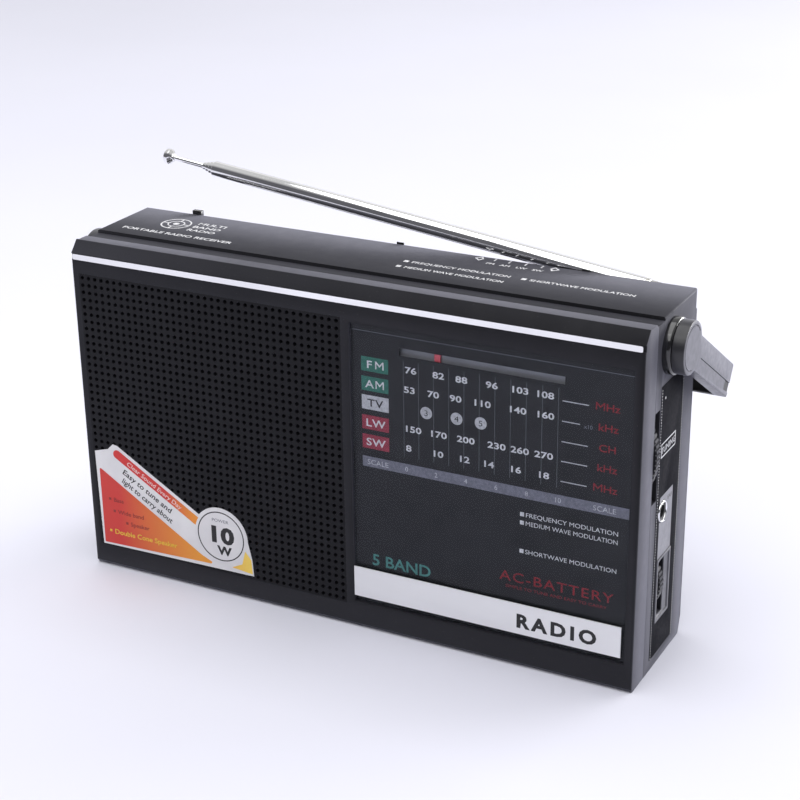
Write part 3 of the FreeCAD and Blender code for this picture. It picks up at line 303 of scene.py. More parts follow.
def make_materials():
    made = {}
    made["case"] = moulded_plastic("case_black", 23, (0.56, 0.66), 0.010, 0.38)
    made["panel"] = moulded_plastic("panel_black", 15, (0.42, 0.54), 0.012, 0.14)
    made["wheel"] = moulded_plastic("wheel_black", 18, (0.42, 0.55), 0.006, 0.2)
    made["gloss"] = finish(
        "gloss_black", (14, 14, 16), (22, 22, 25), (0.10, 0.20), patch=9.0, grain=2.2, depth=0.006,
        gloss=0.6, coat=0.4
    )
    made["arm"] = finish(
        "arm_black", (30, 30, 33), (38, 38, 41), (0.30, 0.42), patch=9.0, grain=0.5, depth=0.004, gloss=0.4,
        coat=0.1, sheen=0.3
    )
    made["chrome"] = finish(
        "chrome", (230, 230, 231), (243, 243, 244), (0.04, 0.10), patch=7.0, grain=6.0, depth=0.004,
        metal=1.0, stretch=(6, 1, 1)
    )
    made["nickel"] = finish(
        "nickel", (190, 188, 182), (212, 210, 204), (0.16, 0.28), patch=4.0, grain=0.5, depth=0.003, metal=1.0
    )
    made["foil"] = finish(
        "silver_foil", (226, 226, 228), (238, 238, 240), (0.30, 0.42), patch=22.0, grain=0.25, depth=0.002,
        metal=0.35, gloss=0.5, stretch=(5, 1, 1)
    )
    made["frame"] = finish(
        "frame_grey", (92, 92, 99), (106, 106, 113), (0.36, 0.48), patch=5.0, grain=0.4, depth=0.004
    )
    made["grip"] = finish(
        "grip_black", (16, 16, 18), (24, 24, 26), (0.36, 0.50), patch=7.0, grain=0.4, depth=0.01, gloss=0.3
    )
    made["dial"] = finish(
        "dial_card", (27, 28, 31), (31, 32, 35), (0.45, 0.60), patch=30.0, grain=0.3, depth=0.003
    )
    made["window"] = clear_pane("smoked_window", srgb(244, 245, 247), 1.2)
    made["film"] = finish(
        "label_film", (28, 28, 33), (34, 34, 39), (0.60, 0.72), patch=6.0, grain=0.22, depth=0.010, gloss=0.02
    )
    made["film_light"] = finish(
        "label_film_light", (118, 118, 126), (130, 130, 138), (0.40, 0.55), patch=3.0, grain=0.2, depth=0.006
    )
    made["paper"] = finish(
        "label_paper", (224, 223, 225), (236, 235, 236), (0.28, 0.38), patch=15.0, grain=0.3, depth=0.002
    )
    made["rail"] = finish(
        "rail_grey", (176, 177, 182), (188, 189, 194), (0.45, 0.6), patch=8.0, grain=0.4, depth=0.004
    )
    made["pointer"] = finish(
        "pointer_red", (222, 92, 104), (232, 106, 116), (0.3, 0.4), patch=2.0, grain=0.5, depth=0.003
    )
    inks = {
        "ink_white": (232, 232, 236), "ink_pale": (206, 207, 211), "ink_digit": (236, 237, 240),
        "ink_grey": (128, 129, 142), "ink_line": (96, 97, 104), "ink_teal": (52, 122, 106),
        "ink_crimson": (164, 56, 76),
        "ink_dark_red": (150, 34, 44), "ink_black": (26, 26, 29), "ink_faint_teal": (84, 148, 142),
        "ink_yellow": (246, 206, 60), "ink_pink": (252, 226, 222), "ink_maroon": (150, 40, 34),
    }
    for name, colour in inks.items():
        made[name] = ink(name, srgb(*colour))
    made["band_red"] = blended("band_red", srgb(214, 44, 38), srgb(240, 148, 44), -76, -64)
    made["field_red"] = blended("field_red", srgb(212, 52, 42), srgb(240, 158, 50), -98, -62)
    made["wedge_yellow"] = blended("wedge_yellow", srgb(240, 170, 60), srgb(250, 214, 96), -54, -40)
    return made


def plain_looks():
    """Materials of the pieces inside and behind, by the record's slot."""
    made = {}
    weave = surface("cloth", srgb(20, 20, 21), srgb(30, 30, 31), (0.8, 0.95), 6.0, 0.4, 0.01, gloss=0.2)
    weave.bump(weave.bands("X", 0.5), 0.06)
    weave.bump(weave.bands("Z", 0.5), 0.06)
    made["cloth"] = weave.material
    made["foam"] = finish("foam", (28, 28, 30), (42, 42, 44), (0.8, 0.95), 1.2, 0.5, 0.12, gloss=0.2)
    made["zinc_steel"] = finish(
        "zinc_steel", (165, 166, 170), (190, 191, 196), (0.25, 0.42), 3.0, 0.3, 0.004, metal=1.0
    )
    made["cone_paper"] = finish("cone_paper", (34, 33, 33), (52, 50, 49), (0.75, 0.9), 3.0, 0.35, 0.03)
    made["ferrite"] = finish("ferrite", (44, 44, 47), (60, 60, 64), (0.45, 0.6), 5.0, 0.3, 0.01)
    made["board_resin"] = finish("board_resin", (150, 108, 62), (172, 126, 76), (0.4, 0.55), 9.0, 0.6, 0.01)
    made["capacitor_film"] = finish(
        "capacitor_film", (206, 204, 194), (222, 220, 210), (0.2, 0.35), 8.0, 1.0, 0.004
    )
    coil = surface(
        "copper_winding", srgb(150, 78, 40), srgb(186, 104, 58), (0.25, 0.4), 2.0, 0.3, 0.004, metal=0.8
    )
    coil.bump(coil.bands("X", 0.45), 0.12)
    made["copper_winding"] = coil.material
    made["can_metal"] = finish(
        "can_metal", (196, 197, 202), (214, 215, 220), (0.22, 0.38), 5.0, 0.4, 0.004, metal=1.0
    )
    made["sleeve"] = finish("sleeve", (28, 36, 84), (34, 44, 98), (0.25, 0.4), 3.0, 0.6, 0.004)
    made["chip_resin"] = finish("chip_resin", (24, 24, 25), (32, 32, 33), (0.5, 0.65), 2.0, 0.2, 0.01)
    made["cell_jacket"] = finish(
        "cell_jacket", (26, 54, 118), (32, 62, 130), (0.18, 0.3), 12.0, 2.0, 0.004, coat=0.3
    )
    made["spring_steel"] = finish(
        "spring_steel", (188, 186, 180), (206, 204, 198), (0.2, 0.34), 2.0, 0.3, 0.004, metal=1.0
    )
    cord = surface("cord_nylon", srgb(196, 190, 164), srgb(214, 208, 184), (0.6, 0.75), 1.0, 0.15, 0.01)
    cord.bump(cord.bands("DIAGONAL", 0.4), 0.06)
    made["cord_nylon"] = cord.material
    made["nylon"] = finish("nylon", (214, 213, 204), (228, 227, 220), (0.4, 0.55), 4.0, 0.5, 0.004)
    return made


# ---- mesh helpers, all in millimetres ----

def plane(origin, right, up):
    """The frame of a flat surface: x along right, y along up and z out of it."""
    right, up = Vector(right).normalized(), Vector(up).normalized()
    return Matrix.Translation(origin) @ Matrix((right, up, right.cross(up))).transposed().to_4x4()


def arc(centre, radius, start, end, steps):
    """Points on a 2D arc, angles in degrees."""
    points = []
    for i in range(steps + 1):
        angle = math.radians(start + (end - start) * i / steps)
        points.append((centre[0] + radius * math.cos(angle), centre[1] + radius * math.sin(angle)))
    return points


def rounded(points, radius, steps=5):
    """A 2D outline with its corners rounded."""
    made = []
    count = len(points)
    for i in range(count):
        corner = Vector(points[i])
        before = (Vector(points[i - 1]) - corner).normalized()
        after = (Vector(points[(i + 1) % count]) - corner).normalized()
        half = before.angle(after) / 2
        reach = radius / math.tan(half)
        start, end = corner + before * reach, corner + after * reach
        centre = corner + (before + after).normalized() * (radius / math.sin(half))
        for k in range(steps + 1):
            spoke = (start - centre).lerp(end - centre, k / steps).normalized() * radius
            made.append(tuple(centre + spoke))
    return made


def rectangle(left, low, right, high):
    return [(left, low), (right, low), (right, high), (left, high)]


def slab(bm, outline, place, low, high):
    """A prism over a 2D outline, from low to high along the place's z."""
    rings = []
    for level in (low, high):
        rings.append([bm.verts.new(place @ Vector((u, v, level))) for u, v in outline])
    count = len(outline)
    faces = [bm.faces.new(reversed(rings[0])), bm.faces.new(rings[1])]
    for i in range(count):
        j = (i + 1) % count
        faces.append(bm.faces.new((rings[0][i], rings[0][j], rings[1][j], rings[1][i])))
    return faces


def turned(bm, profile, place, steps=64, closed=True):
    """Turns a profile of (along, radius) points about the place's z. A radius of 0 makes a pole."""
    rings = []
    for along, radius in profile:
        if radius == 0:
            rings.append([bm.verts.new(place @ Vector((0, 0, along)))])
            continue
        ring = []
        for i in range(steps):
            angle = 2 * math.pi * i / steps
            spot = Vector((radius * math.cos(angle), radius * math.sin(angle), along))
            ring.append(bm.verts.new(place @ spot))
        rings.append(ring)
    pairs = list(zip(rings, rings[1:]))
    if closed:
        pairs.append((rings[-1], rings[0]))
    for a, b in pairs:
        for i in range(steps):
            j = (i + 1) % steps
            corners = [a[i % len(a)], a[j % len(a)], b[j % len(b)], b[i % len(b)]]
            unique = list(dict.fromkeys(corners))
            if len(unique) > 2:
                bm.faces.new(unique)


def bevel(bm, width, wanted=None, angle=35, segments=2):
    """Rounds the sharp edges, or those that wanted(edge) picks."""
    edges = []
    for edge in bm.edges:
        if len(edge.link_faces) == 2 and edge.calc_face_angle(0) > math.radians(angle):
            if wanted is None or wanted(edge):
                edges.append(edge)
    bmesh.ops.bevel(
        bm, geom=edges, offset=width, offset_type="OFFSET", segments=segments, profile=0.5, affect="EDGES",
        clamp_overlap=True,
    )


def copy_of(node):
    """A CAD node's mesh in millimetres, its flat faces whole."""
    bm = bmesh.new()
    bm.from_mesh(frame["nodes"][node].data)
    bmesh.ops.scale(bm, vec=(1 / MM,) * 3, verts=bm.verts)
    bmesh.ops.remove_doubles(bm, verts=bm.verts, dist=0.002)
    bmesh.ops.dissolve_limit(bm, angle_limit=math.radians(0.6), verts=bm.verts, edges=bm.edges)
    return bm


def piece(bm, name, body, material, nodes=(), angle=32):
    """Makes an object of a bmesh, smooth except at edges sharper than angle, and has it ride on a body."""
    bmesh.ops.scale(bm, vec=(MM,) * 3, verts=bm.verts)
    bmesh.ops.recalc_face_normals(bm, faces=bm.faces)
    mesh = bpy.data.meshes.new(name)
    bm.to_mesh(mesh)
    bm.free()
    mesh.materials.append(material)
    mesh.polygons.foreach_set("use_smooth", [True] * len(mesh.polygons))
    mesh.set_sharp_from_angle(angle=math.radians(angle))
    thing = bpy.data.objects.new(name, mesh)
    scene.collection.objects.link(thing)
    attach(thing, body)
    if nodes:
        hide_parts(*nodes)
    return thing


def dressed(node, name, body, material, width=0, wanted=None, segments=2):
    """A piece in a CAD node's own shape, its edges bevelled by width, that stands for the node."""
    bm = copy_of(node)
    if width:
        bevel(bm, width, wanted, segments=segments)
    return piece(bm, name, body, look[material], [node])


def carve(thing, cutter_bm):
    """Cuts a bmesh's solids, in millimetres, out of a piece."""
    bmesh.ops.scale(cutter_bm, vec=(MM,) * 3, verts=cutter_bm.verts)
    bmesh.ops.recalc_face_normals(cutter_bm, faces=cutter_bm.faces)
    mesh = bpy.data.meshes.new("cutter")
    cutter_bm.to_mesh(mesh)
    cutter_bm.free()
    cutter = bpy.data.objects.new("cutter", mesh)
    scene.collection.objects.link(cutter)
    modifier = thing.modifiers.new("carve", "BOOLEAN")
    modifier.operation = "DIFFERENCE"
    modifier.solver = "EXACT"
    modifier.use_self = True
    modifier.object = cutter
    graph = bpy.context.evaluated_depsgraph_get()
    carved = bpy.data.meshes.new_from_object(thing.evaluated_get(graph))
    thing.modifiers.clear()
    thing.data = carved
    bpy.data.objects.remove(cutter)
    carved.set_sharp_from_angle(angle=math.radians(32))
    return thing


PRINT_DEPTH = 0.02
CAPITAL = 0.729    # height of the built-in font's capitals, as a share of its size


def lettering(bm, words, height, place, at, stretch=1.0, weight=0.0, align="CENTER", turn=0.0, spacing=1.0,
              span=None):
    """Adds printed words, centred up and down on at.

    height is that of a capital and span the words' full width.
    """
    curve = bpy.data.curves.new("lettering", "FONT")
    curve.body = words
    curve.align_x = align
    curve.size = height / CAPITAL
    curve.extrude = PRINT_DEPTH
    curve.offset = weight
    curve.space_character = spacing
    curve.resolution_u = 3
    holder = bpy.data.objects.new("lettering", curve)
    mesh = bpy.data.meshes.new_from_object(holder)
    if span is not None:
        reach = [vert.co.x for vert in mesh.vertices]
        stretch = span / (max(reach) - min(reach))
    local = Matrix.Translation((at[0], at[1], 0)) @ Matrix.Rotation(math.radians(turn), 4, "Z")
    local = local @ Matrix.Diagonal((stretch, 1, 1, 1)) @ Matrix.Translation((0, -height / 2, 0))
    mesh.transform(place @ local)
    bm.from_mesh(mesh)
    bpy.data.meshes.remove(mesh)
    bpy.data.objects.remove(holder)
    bpy.data.curves.remove(curve)


def patch(bm, outline, place, depth=PRINT_DEPTH):
    """A printed shape: as thick as lettering."""
    slab(bm, outline, place, -depth, depth)


def letter_m(bm, height, place, at, width, stroke):
    """A wide M whose middle comes only part of the way down, centred on at."""
    left, right = at[0] - width / 2, at[0] + width / 2
    low, high = at[1] - height / 2, at[1] + height / 2
    dip = low + 0.28 * height
    patch(bm, rectangle(left, low, left + stroke, high), place)
    patch(bm, rectangle(right - stroke, low, right, high), place)
    for edge, way in ((left + stroke, 1), (right - stroke, -1)):
        top = [(edge, high), (edge, high - 1.5 * stroke), (at[0], dip), (at[0], dip + 1.5 * stroke)]
        patch(bm, top if way < 0 else top[::-1], place)


def disc(radius, centre, steps=28):
    return arc(centre, radius, 0, 360 - 360 / steps, steps - 1)


def ring(bm, centre, outer, inner, place, steps=40):
    """A printed ring."""
    for i in range(steps):
        start, end = 360 * i / steps, 360 * (i + 1) / steps
        outline = arc(centre, outer, start, end, 1) + arc(centre, inner, end, start, 1)
        patch(bm, outline, place)


make_camera()
make_world()
for light in LIGHTS:
    make_softbox(*light)
look = make_materials()
look.update(plain_looks())


FLOOR_REACH = 6000


def make_floor():
    bm = bmesh.new()
    outline = rectangle(-FLOOR_REACH, -FLOOR_REACH, FLOOR_REACH, FLOOR_REACH)
    bm.faces.new([bm.verts.new((x * MM, y * MM, 0)) for x, y in outline])
    mesh = bpy.data.meshes.new("floor")
    bm.to_mesh(mesh)
    bm.free()
    floor = bpy.data.objects.new("floor", mesh)
    mesh.materials.append(finish(
        "floor_paper", (228, 228, 240), (231, 231, 243), (0.8, 0.9), 400.0, 3.0, 0.01, gloss=0.1
    ))
    scene.collection.objects.link(floor)


make_floor()


# ---- case ----

def outer_edge(node, reach):
    """Picks the edges near the outside of a node's box."""
    low, high = box(node)

    def wanted(edge):
        middle = (edge.verts[0].co + edge.verts[1].co) / 2
        return any(middle[i] - low[i] < reach or high[i] - middle[i] < reach for i in range(3))

    return wanted


def case_shells():
    for half in ("front", "rear"):
        node = f"{half}_case"
        dressed(node, f"{half}_shell", "case", "case", 0.25, outer_edge(node, 1.2))


def trim_strip():
    low, high = box("chrome_trim")
    place = plane((0, high.y, 0), X, Z)
    outline = rounded(rectangle(low.x, low.z, high.x, high.z), 0.5)
    bm = bmesh.new()
    slab(bm, outline, place, 0, high.y - low.y)
    bevel(bm, 0.22, lambda edge: edge.verts[0].co.y < low.y + 0.01 and edge.verts[1].co.y < low.y + 0.01)
    piece(bm, "trim_strip", "case", look["chrome"], ["chrome_trim"])


case_shells()
trim_strip()


HOLE_SIDES = 20
PITCH_ACROSS, PITCH_UP = 2.832, 2.858
HOLE_RADIUS = 0.82
FIRST_HOLE = (-108.17, 10.65)
HOLE_ROWS = 39


def speaker_panel():
    """The pierced panel: a square grid of cells, each with a round hole, inside a plain margin."""
    low, high = box("speaker_grille")
    bm = bmesh.new()
    half_across, half_up = PITCH_ACROSS / 2, PITCH_UP / 2
    quarter = HOLE_SIDES // 4
    for column in range(HOLE_ROWS):
        for row in range(HOLE_ROWS):
            x = FIRST_HOLE[0] + column * PITCH_ACROSS
            z = FIRST_HOLE[1] + row * PITCH_UP
            rims = []
            for y in (low.y, high.y):
                rim = []
                for i in range(HOLE_SIDES):
                    angle = 2 * math.pi * i / HOLE_SIDES
                    across, up = HOLE_RADIUS * math.cos(angle), HOLE_RADIUS * math.sin(angle)
                    rim.append(bm.verts.new((x + across, y, z + up)))
                corners = []
                for sx, sz in ((1, 1), (-1, 1), (-1, -1), (1, -1)):
                    corners.append(bm.verts.new((x + sx * half_across, y, z + sz * half_up)))
                for q in range(4):
                    for k in range(quarter):
                        first = q * quarter + k
                        bm.faces.new((corners[q], rim[first], rim[(first + 1) % HOLE_SIDES]))
                    bm.faces.new((corners[q - 1], corners[q], rim[q * quarter]))
                rims.append(rim)
            for i in range(HOLE_SIDES):
                j = (i + 1) % HOLE_SIDES
                bm.faces.new((rims[0][i], rims[0][j], rims[1][j], rims[1][i]))
    left = FIRST_HOLE[0] - half_across
    bottom = FIRST_HOLE[1] - half_up
    right = left + HOLE_ROWS * PITCH_ACROSS
    top = bottom + HOLE_ROWS * PITCH_UP
    xs = [low.x, left, right, high.x]
    zs = [low.z, bottom, top, high.z]
    for y in (low.y, high.y):
        for i in range(3):
            for k in range(3):
                if (i, k) != (1, 1):
                    corners = rectangle(xs[i], zs[k], xs[i + 1], zs[k + 1])
                    bm.faces.new([bm.verts.new((u, y, v)) for u, v in corners])
    bmesh.ops.remove_doubles(bm, verts=bm.verts, dist=0.001)
    piece(bm, "speaker_panel", "case", look["panel"], ["speaker_grille"], angle=50)


speaker_panel()


# ---- dial ----

def window_pane():
    pane = dressed("dial_window", "window_pane", "case", "window", 0.08)
    pane.visible_shadow = False


def name_foil():
    low, high = box("name_strip")
    bm = bmesh.new()
    slab(bm, rectangle(low.x, low.z, high.x, high.z), plane((0, high.y, 0), X, Z), 0, high.y - low.y)
    bevel(bm, 0.08)
    piece(bm, "name_foil", "case", look["foil"], ["name_strip"])
    bm = bmesh.new()
    face = plane((0, low.y, 0), X, Z)
    lettering(bm, "RADIO", 5.3, face, (84.0, 18.6), weight=0.3, spacing=1.35, span=30.0)
    piece(bm, "foil_lettering", "case", look["ink_black"])


ROWS = {"FM": 105.0, "AM": 97.7, "TV": 90.3, "LW": 83.1, "SW": 75.7}
MARKS = {
    "FM": (("76", 27.5), ("82", 38.1), ("88", 46.8), ("96", 58.1), ("103", 68.3), ("108", 77.4)),
    "AM": (("53", 27.0), ("70", 36.1), ("90", 44.6), ("110", 54.4), ("140", 67.5), ("160", 77.6)),
    "TV": (("3", 33.4), ("4", 45.0), ("5", 54.1)),
    "LW": (("150", 28.1), ("170", 37.9), ("200", 48.5), ("230", 60.1), ("260", 68.7), ("270", 77.5)),
    "SW": (("8", 26.5), ("10", 37.7), ("12", 47.8), ("14", 57.0), ("16", 67.1), ("18", 77.4)),
}
TAG_ROWS = (104.65, 97.35, 90.3, 82.7, 75.35)
TAG_LEFT, TAG_RIGHT, TAG_HALF = 8.2, 18.8, 2.7
TAG_INKS = ("ink_teal", "ink_teal", "ink_pale", "ink_crimson", "ink_crimson")
UNITS = ("MHz", "kHz", "CH", "kHz", "MHz")
DIGIT, TAG_LETTER, UNIT_LETTER = 2.35, 2.9, 2.7
GRID_LINES, FIRST_LINE, LINE_PITCH = 11, 24.7, 5.77
DASH_LEFT, DASH_RIGHT, SHORT_DASH_RIGHT = 83.8, 93.2, 90.2
SCALE_UP, FIRST_SCALE, SCALE_PITCH = 67.5, 25.6, 11.46
NOTES = ((59.4, "FREQUENCY MODULATION"), (56.2, "MEDIUM WAVE MODULATION"), (45.3, "SHORTWAVE MODULATION"))
# The dial card's top carries a black band of painted shade for the window's recess and, beneath it, a thin
# grey painted highlight of the window's upper edge.
RECESS_SHADE_DEEP, EDGE_HIGHLIGHT_DEEP = 2.4, 0.18


def dial_print():
    low, high = box("dial_plate")
    card = plane((0, low.y, 0), X, Z)
    raised = card @ Matrix.Translation((0, 0, PRINT_DEPTH))

    def printed(bm, name, ink_name):
        piece(bm, name, "case", look[ink_name])

    digits, discs, disc_digits = bmesh.new(), bmesh.new(), bmesh.new()
    for band, marks in MARKS.items():
        for number, x in marks:
            at = (x, ROWS[band])
            if band == "TV":
                patch(discs, disc(2.25, at), card)
                lettering(disc_digits, number, 2.2, raised, at, stretch=1.2)
            else:
                lettering(digits, number, DIGIT, card, at, stretch=1.4, weight=0.07, spacing=1.02)
    printed(digits, "dial_numbers", "ink_digit")
    printed(discs, "channel_discs", "ink_pale")
    printed(disc_digits, "channel_numbers", "ink_black")

    middle = (TAG_LEFT + TAG_RIGHT) / 2
    for band, z, ink_name in zip(ROWS, TAG_ROWS, TAG_INKS):
        tag, word = bmesh.new(), bmesh.new()
        patch(tag, rectangle(TAG_LEFT, z - TAG_HALF, TAG_RIGHT, z + TAG_HALF), card)
        printed(tag, f"tag_{band}", ink_name)
        if band.endswith("M"):
            lettering(word, band[0], TAG_LETTER, raised, (middle - 2.1, z), stretch=1.25, weight=0.05)
            letter_m(word, TAG_LETTER, raised, (middle + 1.9, z), 3.3, 0.48)
        else:
            lettering(word, band, TAG_LETTER, raised, (middle, z), stretch=1.25, weight=0.05, spacing=1.08)
        printed(word, f"tag_{band}_letters", "ink_black" if band == "TV" else "ink_digit")

    lines = bmesh.new()
    for i in range(GRID_LINES):
        x = FIRST_LINE + LINE_PITCH * i
        patch(lines, rectangle(x - 0.12, 72.1, x + 0.12, 108.2), card, 0.01)
    printed(lines, "dial_lines", "ink_line")

    dashes, units = bmesh.new(), bmesh.new()
    for (band, z), unit in zip(ROWS.items(), UNITS):
        right = SHORT_DASH_RIGHT if band == "AM" else DASH_RIGHT
        patch(dashes, rectangle(DASH_LEFT, z - 1.2, right, z - 0.85), card)
        rest, x = unit, 100.2
        if unit[0] == "M":
            letter_m(units, UNIT_LETTER, card, (97.2, z - 0.6), 3.2, 0.42)
            rest, x = unit[1:], 101.6
        lettering(units, rest, UNIT_LETTER, card, (x, z - 0.6), stretch=1.2, weight=0.03)
    printed(dashes, "dial_dashes", "ink_pale")
    printed(units, "unit_labels", "ink_dark_red")
    factor = bmesh.new()
    lettering(factor, "x10", 1.5, card, (DASH_RIGHT, ROWS["AM"] - 1.4))
    printed(factor, "unit_factor", "ink_grey")

    bar, scale = bmesh.new(), bmesh.new()
    patch(bar, rectangle(8.1, SCALE_UP - 2, 108.7, SCALE_UP + 2), card)
    for i in range(6):
        lettering(scale, str(2 * i), 1.9, raised, (FIRST_SCALE + SCALE_PITCH * i, SCALE_UP))
    for x in (14.2, 99.9):
        lettering(scale, "SCALE", 2.0, raised, (x, SCALE_UP), stretch=1.1)
    printed(bar, "scale_bar", "ink_grey")
    printed(scale, "scale_marks", "ink_pale")

    notes = bmesh.new()
    for z, words in NOTES:
        patch(notes, rectangle(69.2, z - 0.75, 70.7, z + 0.75), card)
        lettering(notes, words, 1.75, card, (71.2, z), align="LEFT", span=33.6)
    printed(notes, "dial_notes", "ink_digit")

    # Painted shade of the window's recess: a black band along the card's top. Beneath it, a thin grey line is
    # a painted highlight of the window's upper edge.
    recess_shade, edge = bmesh.new(), bmesh.new()
    foot = high.z - RECESS_SHADE_DEEP
    patch(recess_shade, rectangle(low.x, foot, high.x, high.z), card)
    patch(edge, rectangle(low.x + 0.5, foot - EDGE_HIGHLIGHT_DEEP, high.x - 0.5, foot), card)
    printed(recess_shade, "recess_shade_band", "ink_black")
    printed(edge, "window_edge_highlight", "ink_grey")

    kind, power = bmesh.new(), bmesh.new()
    lettering(kind, "5 BAND", 4.6, card, (23.0, 28.9), weight=0.1, span=23.5)
    printed(kind, "band_count", "ink_faint_teal")
    lettering(power, "AC-BATTERY", 3.9, card, (83.0, 34.6), stretch=1.22, weight=0.02, spacing=1.15)
    lettering(power, "SIMPLE TO TUNE AND EASY TO CARRY", 1.2, card, (83.0, 30.6), stretch=1.3)
    printed(power, "power_label", "ink_dark_red")


def dial_card():
    dressed("dial_plate", "dial_card", "case", "dial")
    dial_print()


window_pane()
name_foil()
dial_card()


# ---- right side ----

SIDE_FILM = box("side_panel")
SIDE = plane((SIDE_FILM[1].x, 0, 0), Y, Z)


def side_film():
    low, high = SIDE_FILM
    dressed("side_panel", "side_film", "case", "film", 0.1)
    dots = bmesh.new()
    inset, pitch = 0.5, 1.05
    for i in range(int((high.z - low.z - 2 * inset) / pitch) + 1):
        for y in (low.y + inset, high.y - inset):
            patch(dots, disc(0.28, (y, low.z + inset + i * pitch), 8), SIDE)
    piece(dots, "film_outline", "case", look["ink_pale"])

    light = bmesh.new()
    front, back, top = -4.9, 7.8, 66.2
    socket_low, socket_high = box("jack_ring")
    middle = (socket_low.y + socket_high.y) / 2, (socket_low.z + socket_high.z) / 2
    clear = 4.15
    patch(light, rectangle(front, 42.6, back, middle[1] - clear), SIDE)
    patch(light, rectangle(front, middle[1] + clear, back, top), SIDE)
    rims = arc(middle, clear, -90, 90, 24)
    for (y1, z1), (y2, z2) in zip(rims, rims[1:]):
        patch(light, [(y1, z1), (back, z1), (back, z2), (y2, z2)], SIDE)
        far1, far2 = 2 * middle[0] - y1, 2 * middle[0] - y2
        patch(light, [(front, z1), (far1, z1), (far2, z2), (front, z2)], SIDE)
    piece(light, "socket_field", "case", look["film_light"])

    words = bmesh.new()
    for rim in (rectangle(-6.2, 86.2, 8.0, 86.7), rectangle(-6.2, 81.4, 8.0, 81.9),
                rectangle(-6.2, 81.9, -5.7, 86.2), rectangle(7.5, 81.9, 8.0, 86.2)):
        patch(words, rim, SIDE)
    lettering(words, "TUNING", 2.3, SIDE, (0.9, 84.05), stretch=1.15, weight=0.02)
    patch(words, disc(0.5, (-4.2, 103.0), 12), SIDE)
    piece(words, "film_lettering", "case", look["ink_pale"])
    raised = SIDE @ Matrix.Translation((0, 0, PRINT_DEPTH))
    mark = bmesh.new()
    lettering(mark, "EAR", 1.7, raised, (5.0, 63.4), stretch=1.1)
    piece(mark, "socket_mark", "case", look["ink_black"])


def socket_ring():
    low, high = box("jack_ring")
    radius = (high.z - low.z) / 2
    place = plane((low.x, (low.y + high.y) / 2, (low.z + high.z) / 2), Y, Z)
    deep = high.x - low.x
    profile = [
        (0, radius), (deep - 0.35, radius), (deep - 0.1, radius - 0.12), (deep, radius - 0.3),
        (deep - 0.1, 3.5), (deep - 0.45, 3.4), (0, 3.4),
    ]
    bm = bmesh.new()
    turned(bm, profile, place, 56)
    piece(bm, "socket_ring", "case", look["chrome"], ["jack_ring"], angle=40)
    bm = bmesh.new()
    turned(bm, [(0, 3.39), (deep - 0.4, 3.39), (deep - 0.55, 2.2), (0, 2.1)], place, 56)
    piece(bm, "socket_insert", "case", look["grip"])


side_film()
dressed("volume_bezel", "volume_frame", "case", "frame", 0.15)
socket_ring()


# ---- handle ----

HANDLE_UP = JOINTS["handle_swing"]["pos_m"][2] / MM
ARM_LEAN = math.radians(-32)
ARM_ALONG = Vector((0, math.cos(ARM_LEAN), math.sin(ARM_LEAN)))
ARM_UP = Vector((0, -math.sin(ARM_LEAN), math.cos(ARM_LEAN)))
ARM_REACH, ARM_HALF, DISC_RADIUS, ARM_THICK = 52.0, 6.15, 9.3, 4.2


def handle_arm(side, sign):
    """A strap with a round end, chamfered along one side, with a groove that runs into a notch."""
    low, high = box(f"handle_arm_{side}")
    inner = low.x if sign > 0 else high.x
    place = plane((inner, 0, HANDLE_UP), ARM_ALONG, ARM_UP)
    if sign < 0:
        place = place @ Matrix.Diagonal((1, 1, -1, 1))
    half_angle = math.degrees(math.asin(ARM_HALF / DISC_RADIUS))
    tip = 1.0
    outline = arc((0, 0), DISC_RADIUS, half_angle, 360 - half_angle, 40)
    outline += arc((ARM_REACH - tip, -ARM_HALF + tip), tip, -90, 0, 4)
    outline += arc((ARM_REACH - tip, ARM_HALF - tip), tip, 0, 90, 4)
    bm = bmesh.new()
    slab(bm, outline, place, 0, ARM_THICK)
    inverse = place.inverted()

    def outer(edge):
        a, b = (inverse @ vert.co for vert in edge.verts)
        return a.z > ARM_THICK - 0.01 and b.z > ARM_THICK - 0.01

    def lower(edge):
        a, b = (inverse @ vert.co for vert in edge.verts)
        return outer(edge) and a.y < -ARM_HALF + 0.01 and b.y < -ARM_HALF + 0.01 and abs(a.x - b.x) > 10

    bevel(bm, 1.3, lower, segments=1)
    bevel(bm, 0.4, outer, angle=50, segments=2)
    name, node = f"handle_strap_{side}", f"handle_arm_{side}"
    arm = piece(bm, name, "handle", look["arm"], [node], angle=28)
    cutter = bmesh.new()
    slab(cutter, rectangle(ARM_REACH - 6.5, -4.4, ARM_REACH + 1, -0.8), place, ARM_THICK - 1.4, ARM_THICK + 1)
    slab(cutter, rectangle(11.0, -1.15, ARM_REACH - 6.4, -0.8), place, ARM_THICK - 0.35, ARM_THICK + 1)
    outer_rim, inner_rim = 7.9, 7.55
    groove = arc((0, 0), outer_rim, 62, 298, 40) + arc((0, 0), inner_rim, 298, 62, 40)
    slab(cutter, groove, place, ARM_THICK - 0.3, ARM_THICK + 1)
    slab(cutter, disc(2.45, (0, 0), 32), place, -1, 2.6)
    carve(arm, cutter)
    # A black sheet filling most of the notch's depth: painted shade in the notch.
    bm = bmesh.new()
    notch = rectangle(ARM_REACH - 6.45, -4.35, ARM_REACH - 0.1, -0.85)
    slab(bm, notch, place, ARM_THICK - 1.38, ARM_THICK - 0.35)
    piece(bm, f"notch_shade_{side}", "handle", look["ink_black"])


def handle_boss(start, end):
    """A round boss with a softened rim, bored for the pin."""
    place = plane((start, 0, HANDLE_UP), Y, Z)
    deep = end - start
    radius, bore, soft = 9.9, 2.5, 0.9
    step = soft if deep > 0 else -soft
    profile = [(0, bore), (0, radius), (deep - step, radius)]
    for angle in (30, 60, 90):
        turn = math.radians(angle)
        profile.append((deep - step + step * math.sin(turn), radius - soft + soft * math.cos(turn)))
    profile.append((deep, bore))
    bm = bmesh.new()
    turned(bm, profile, place, 72)
    return bm


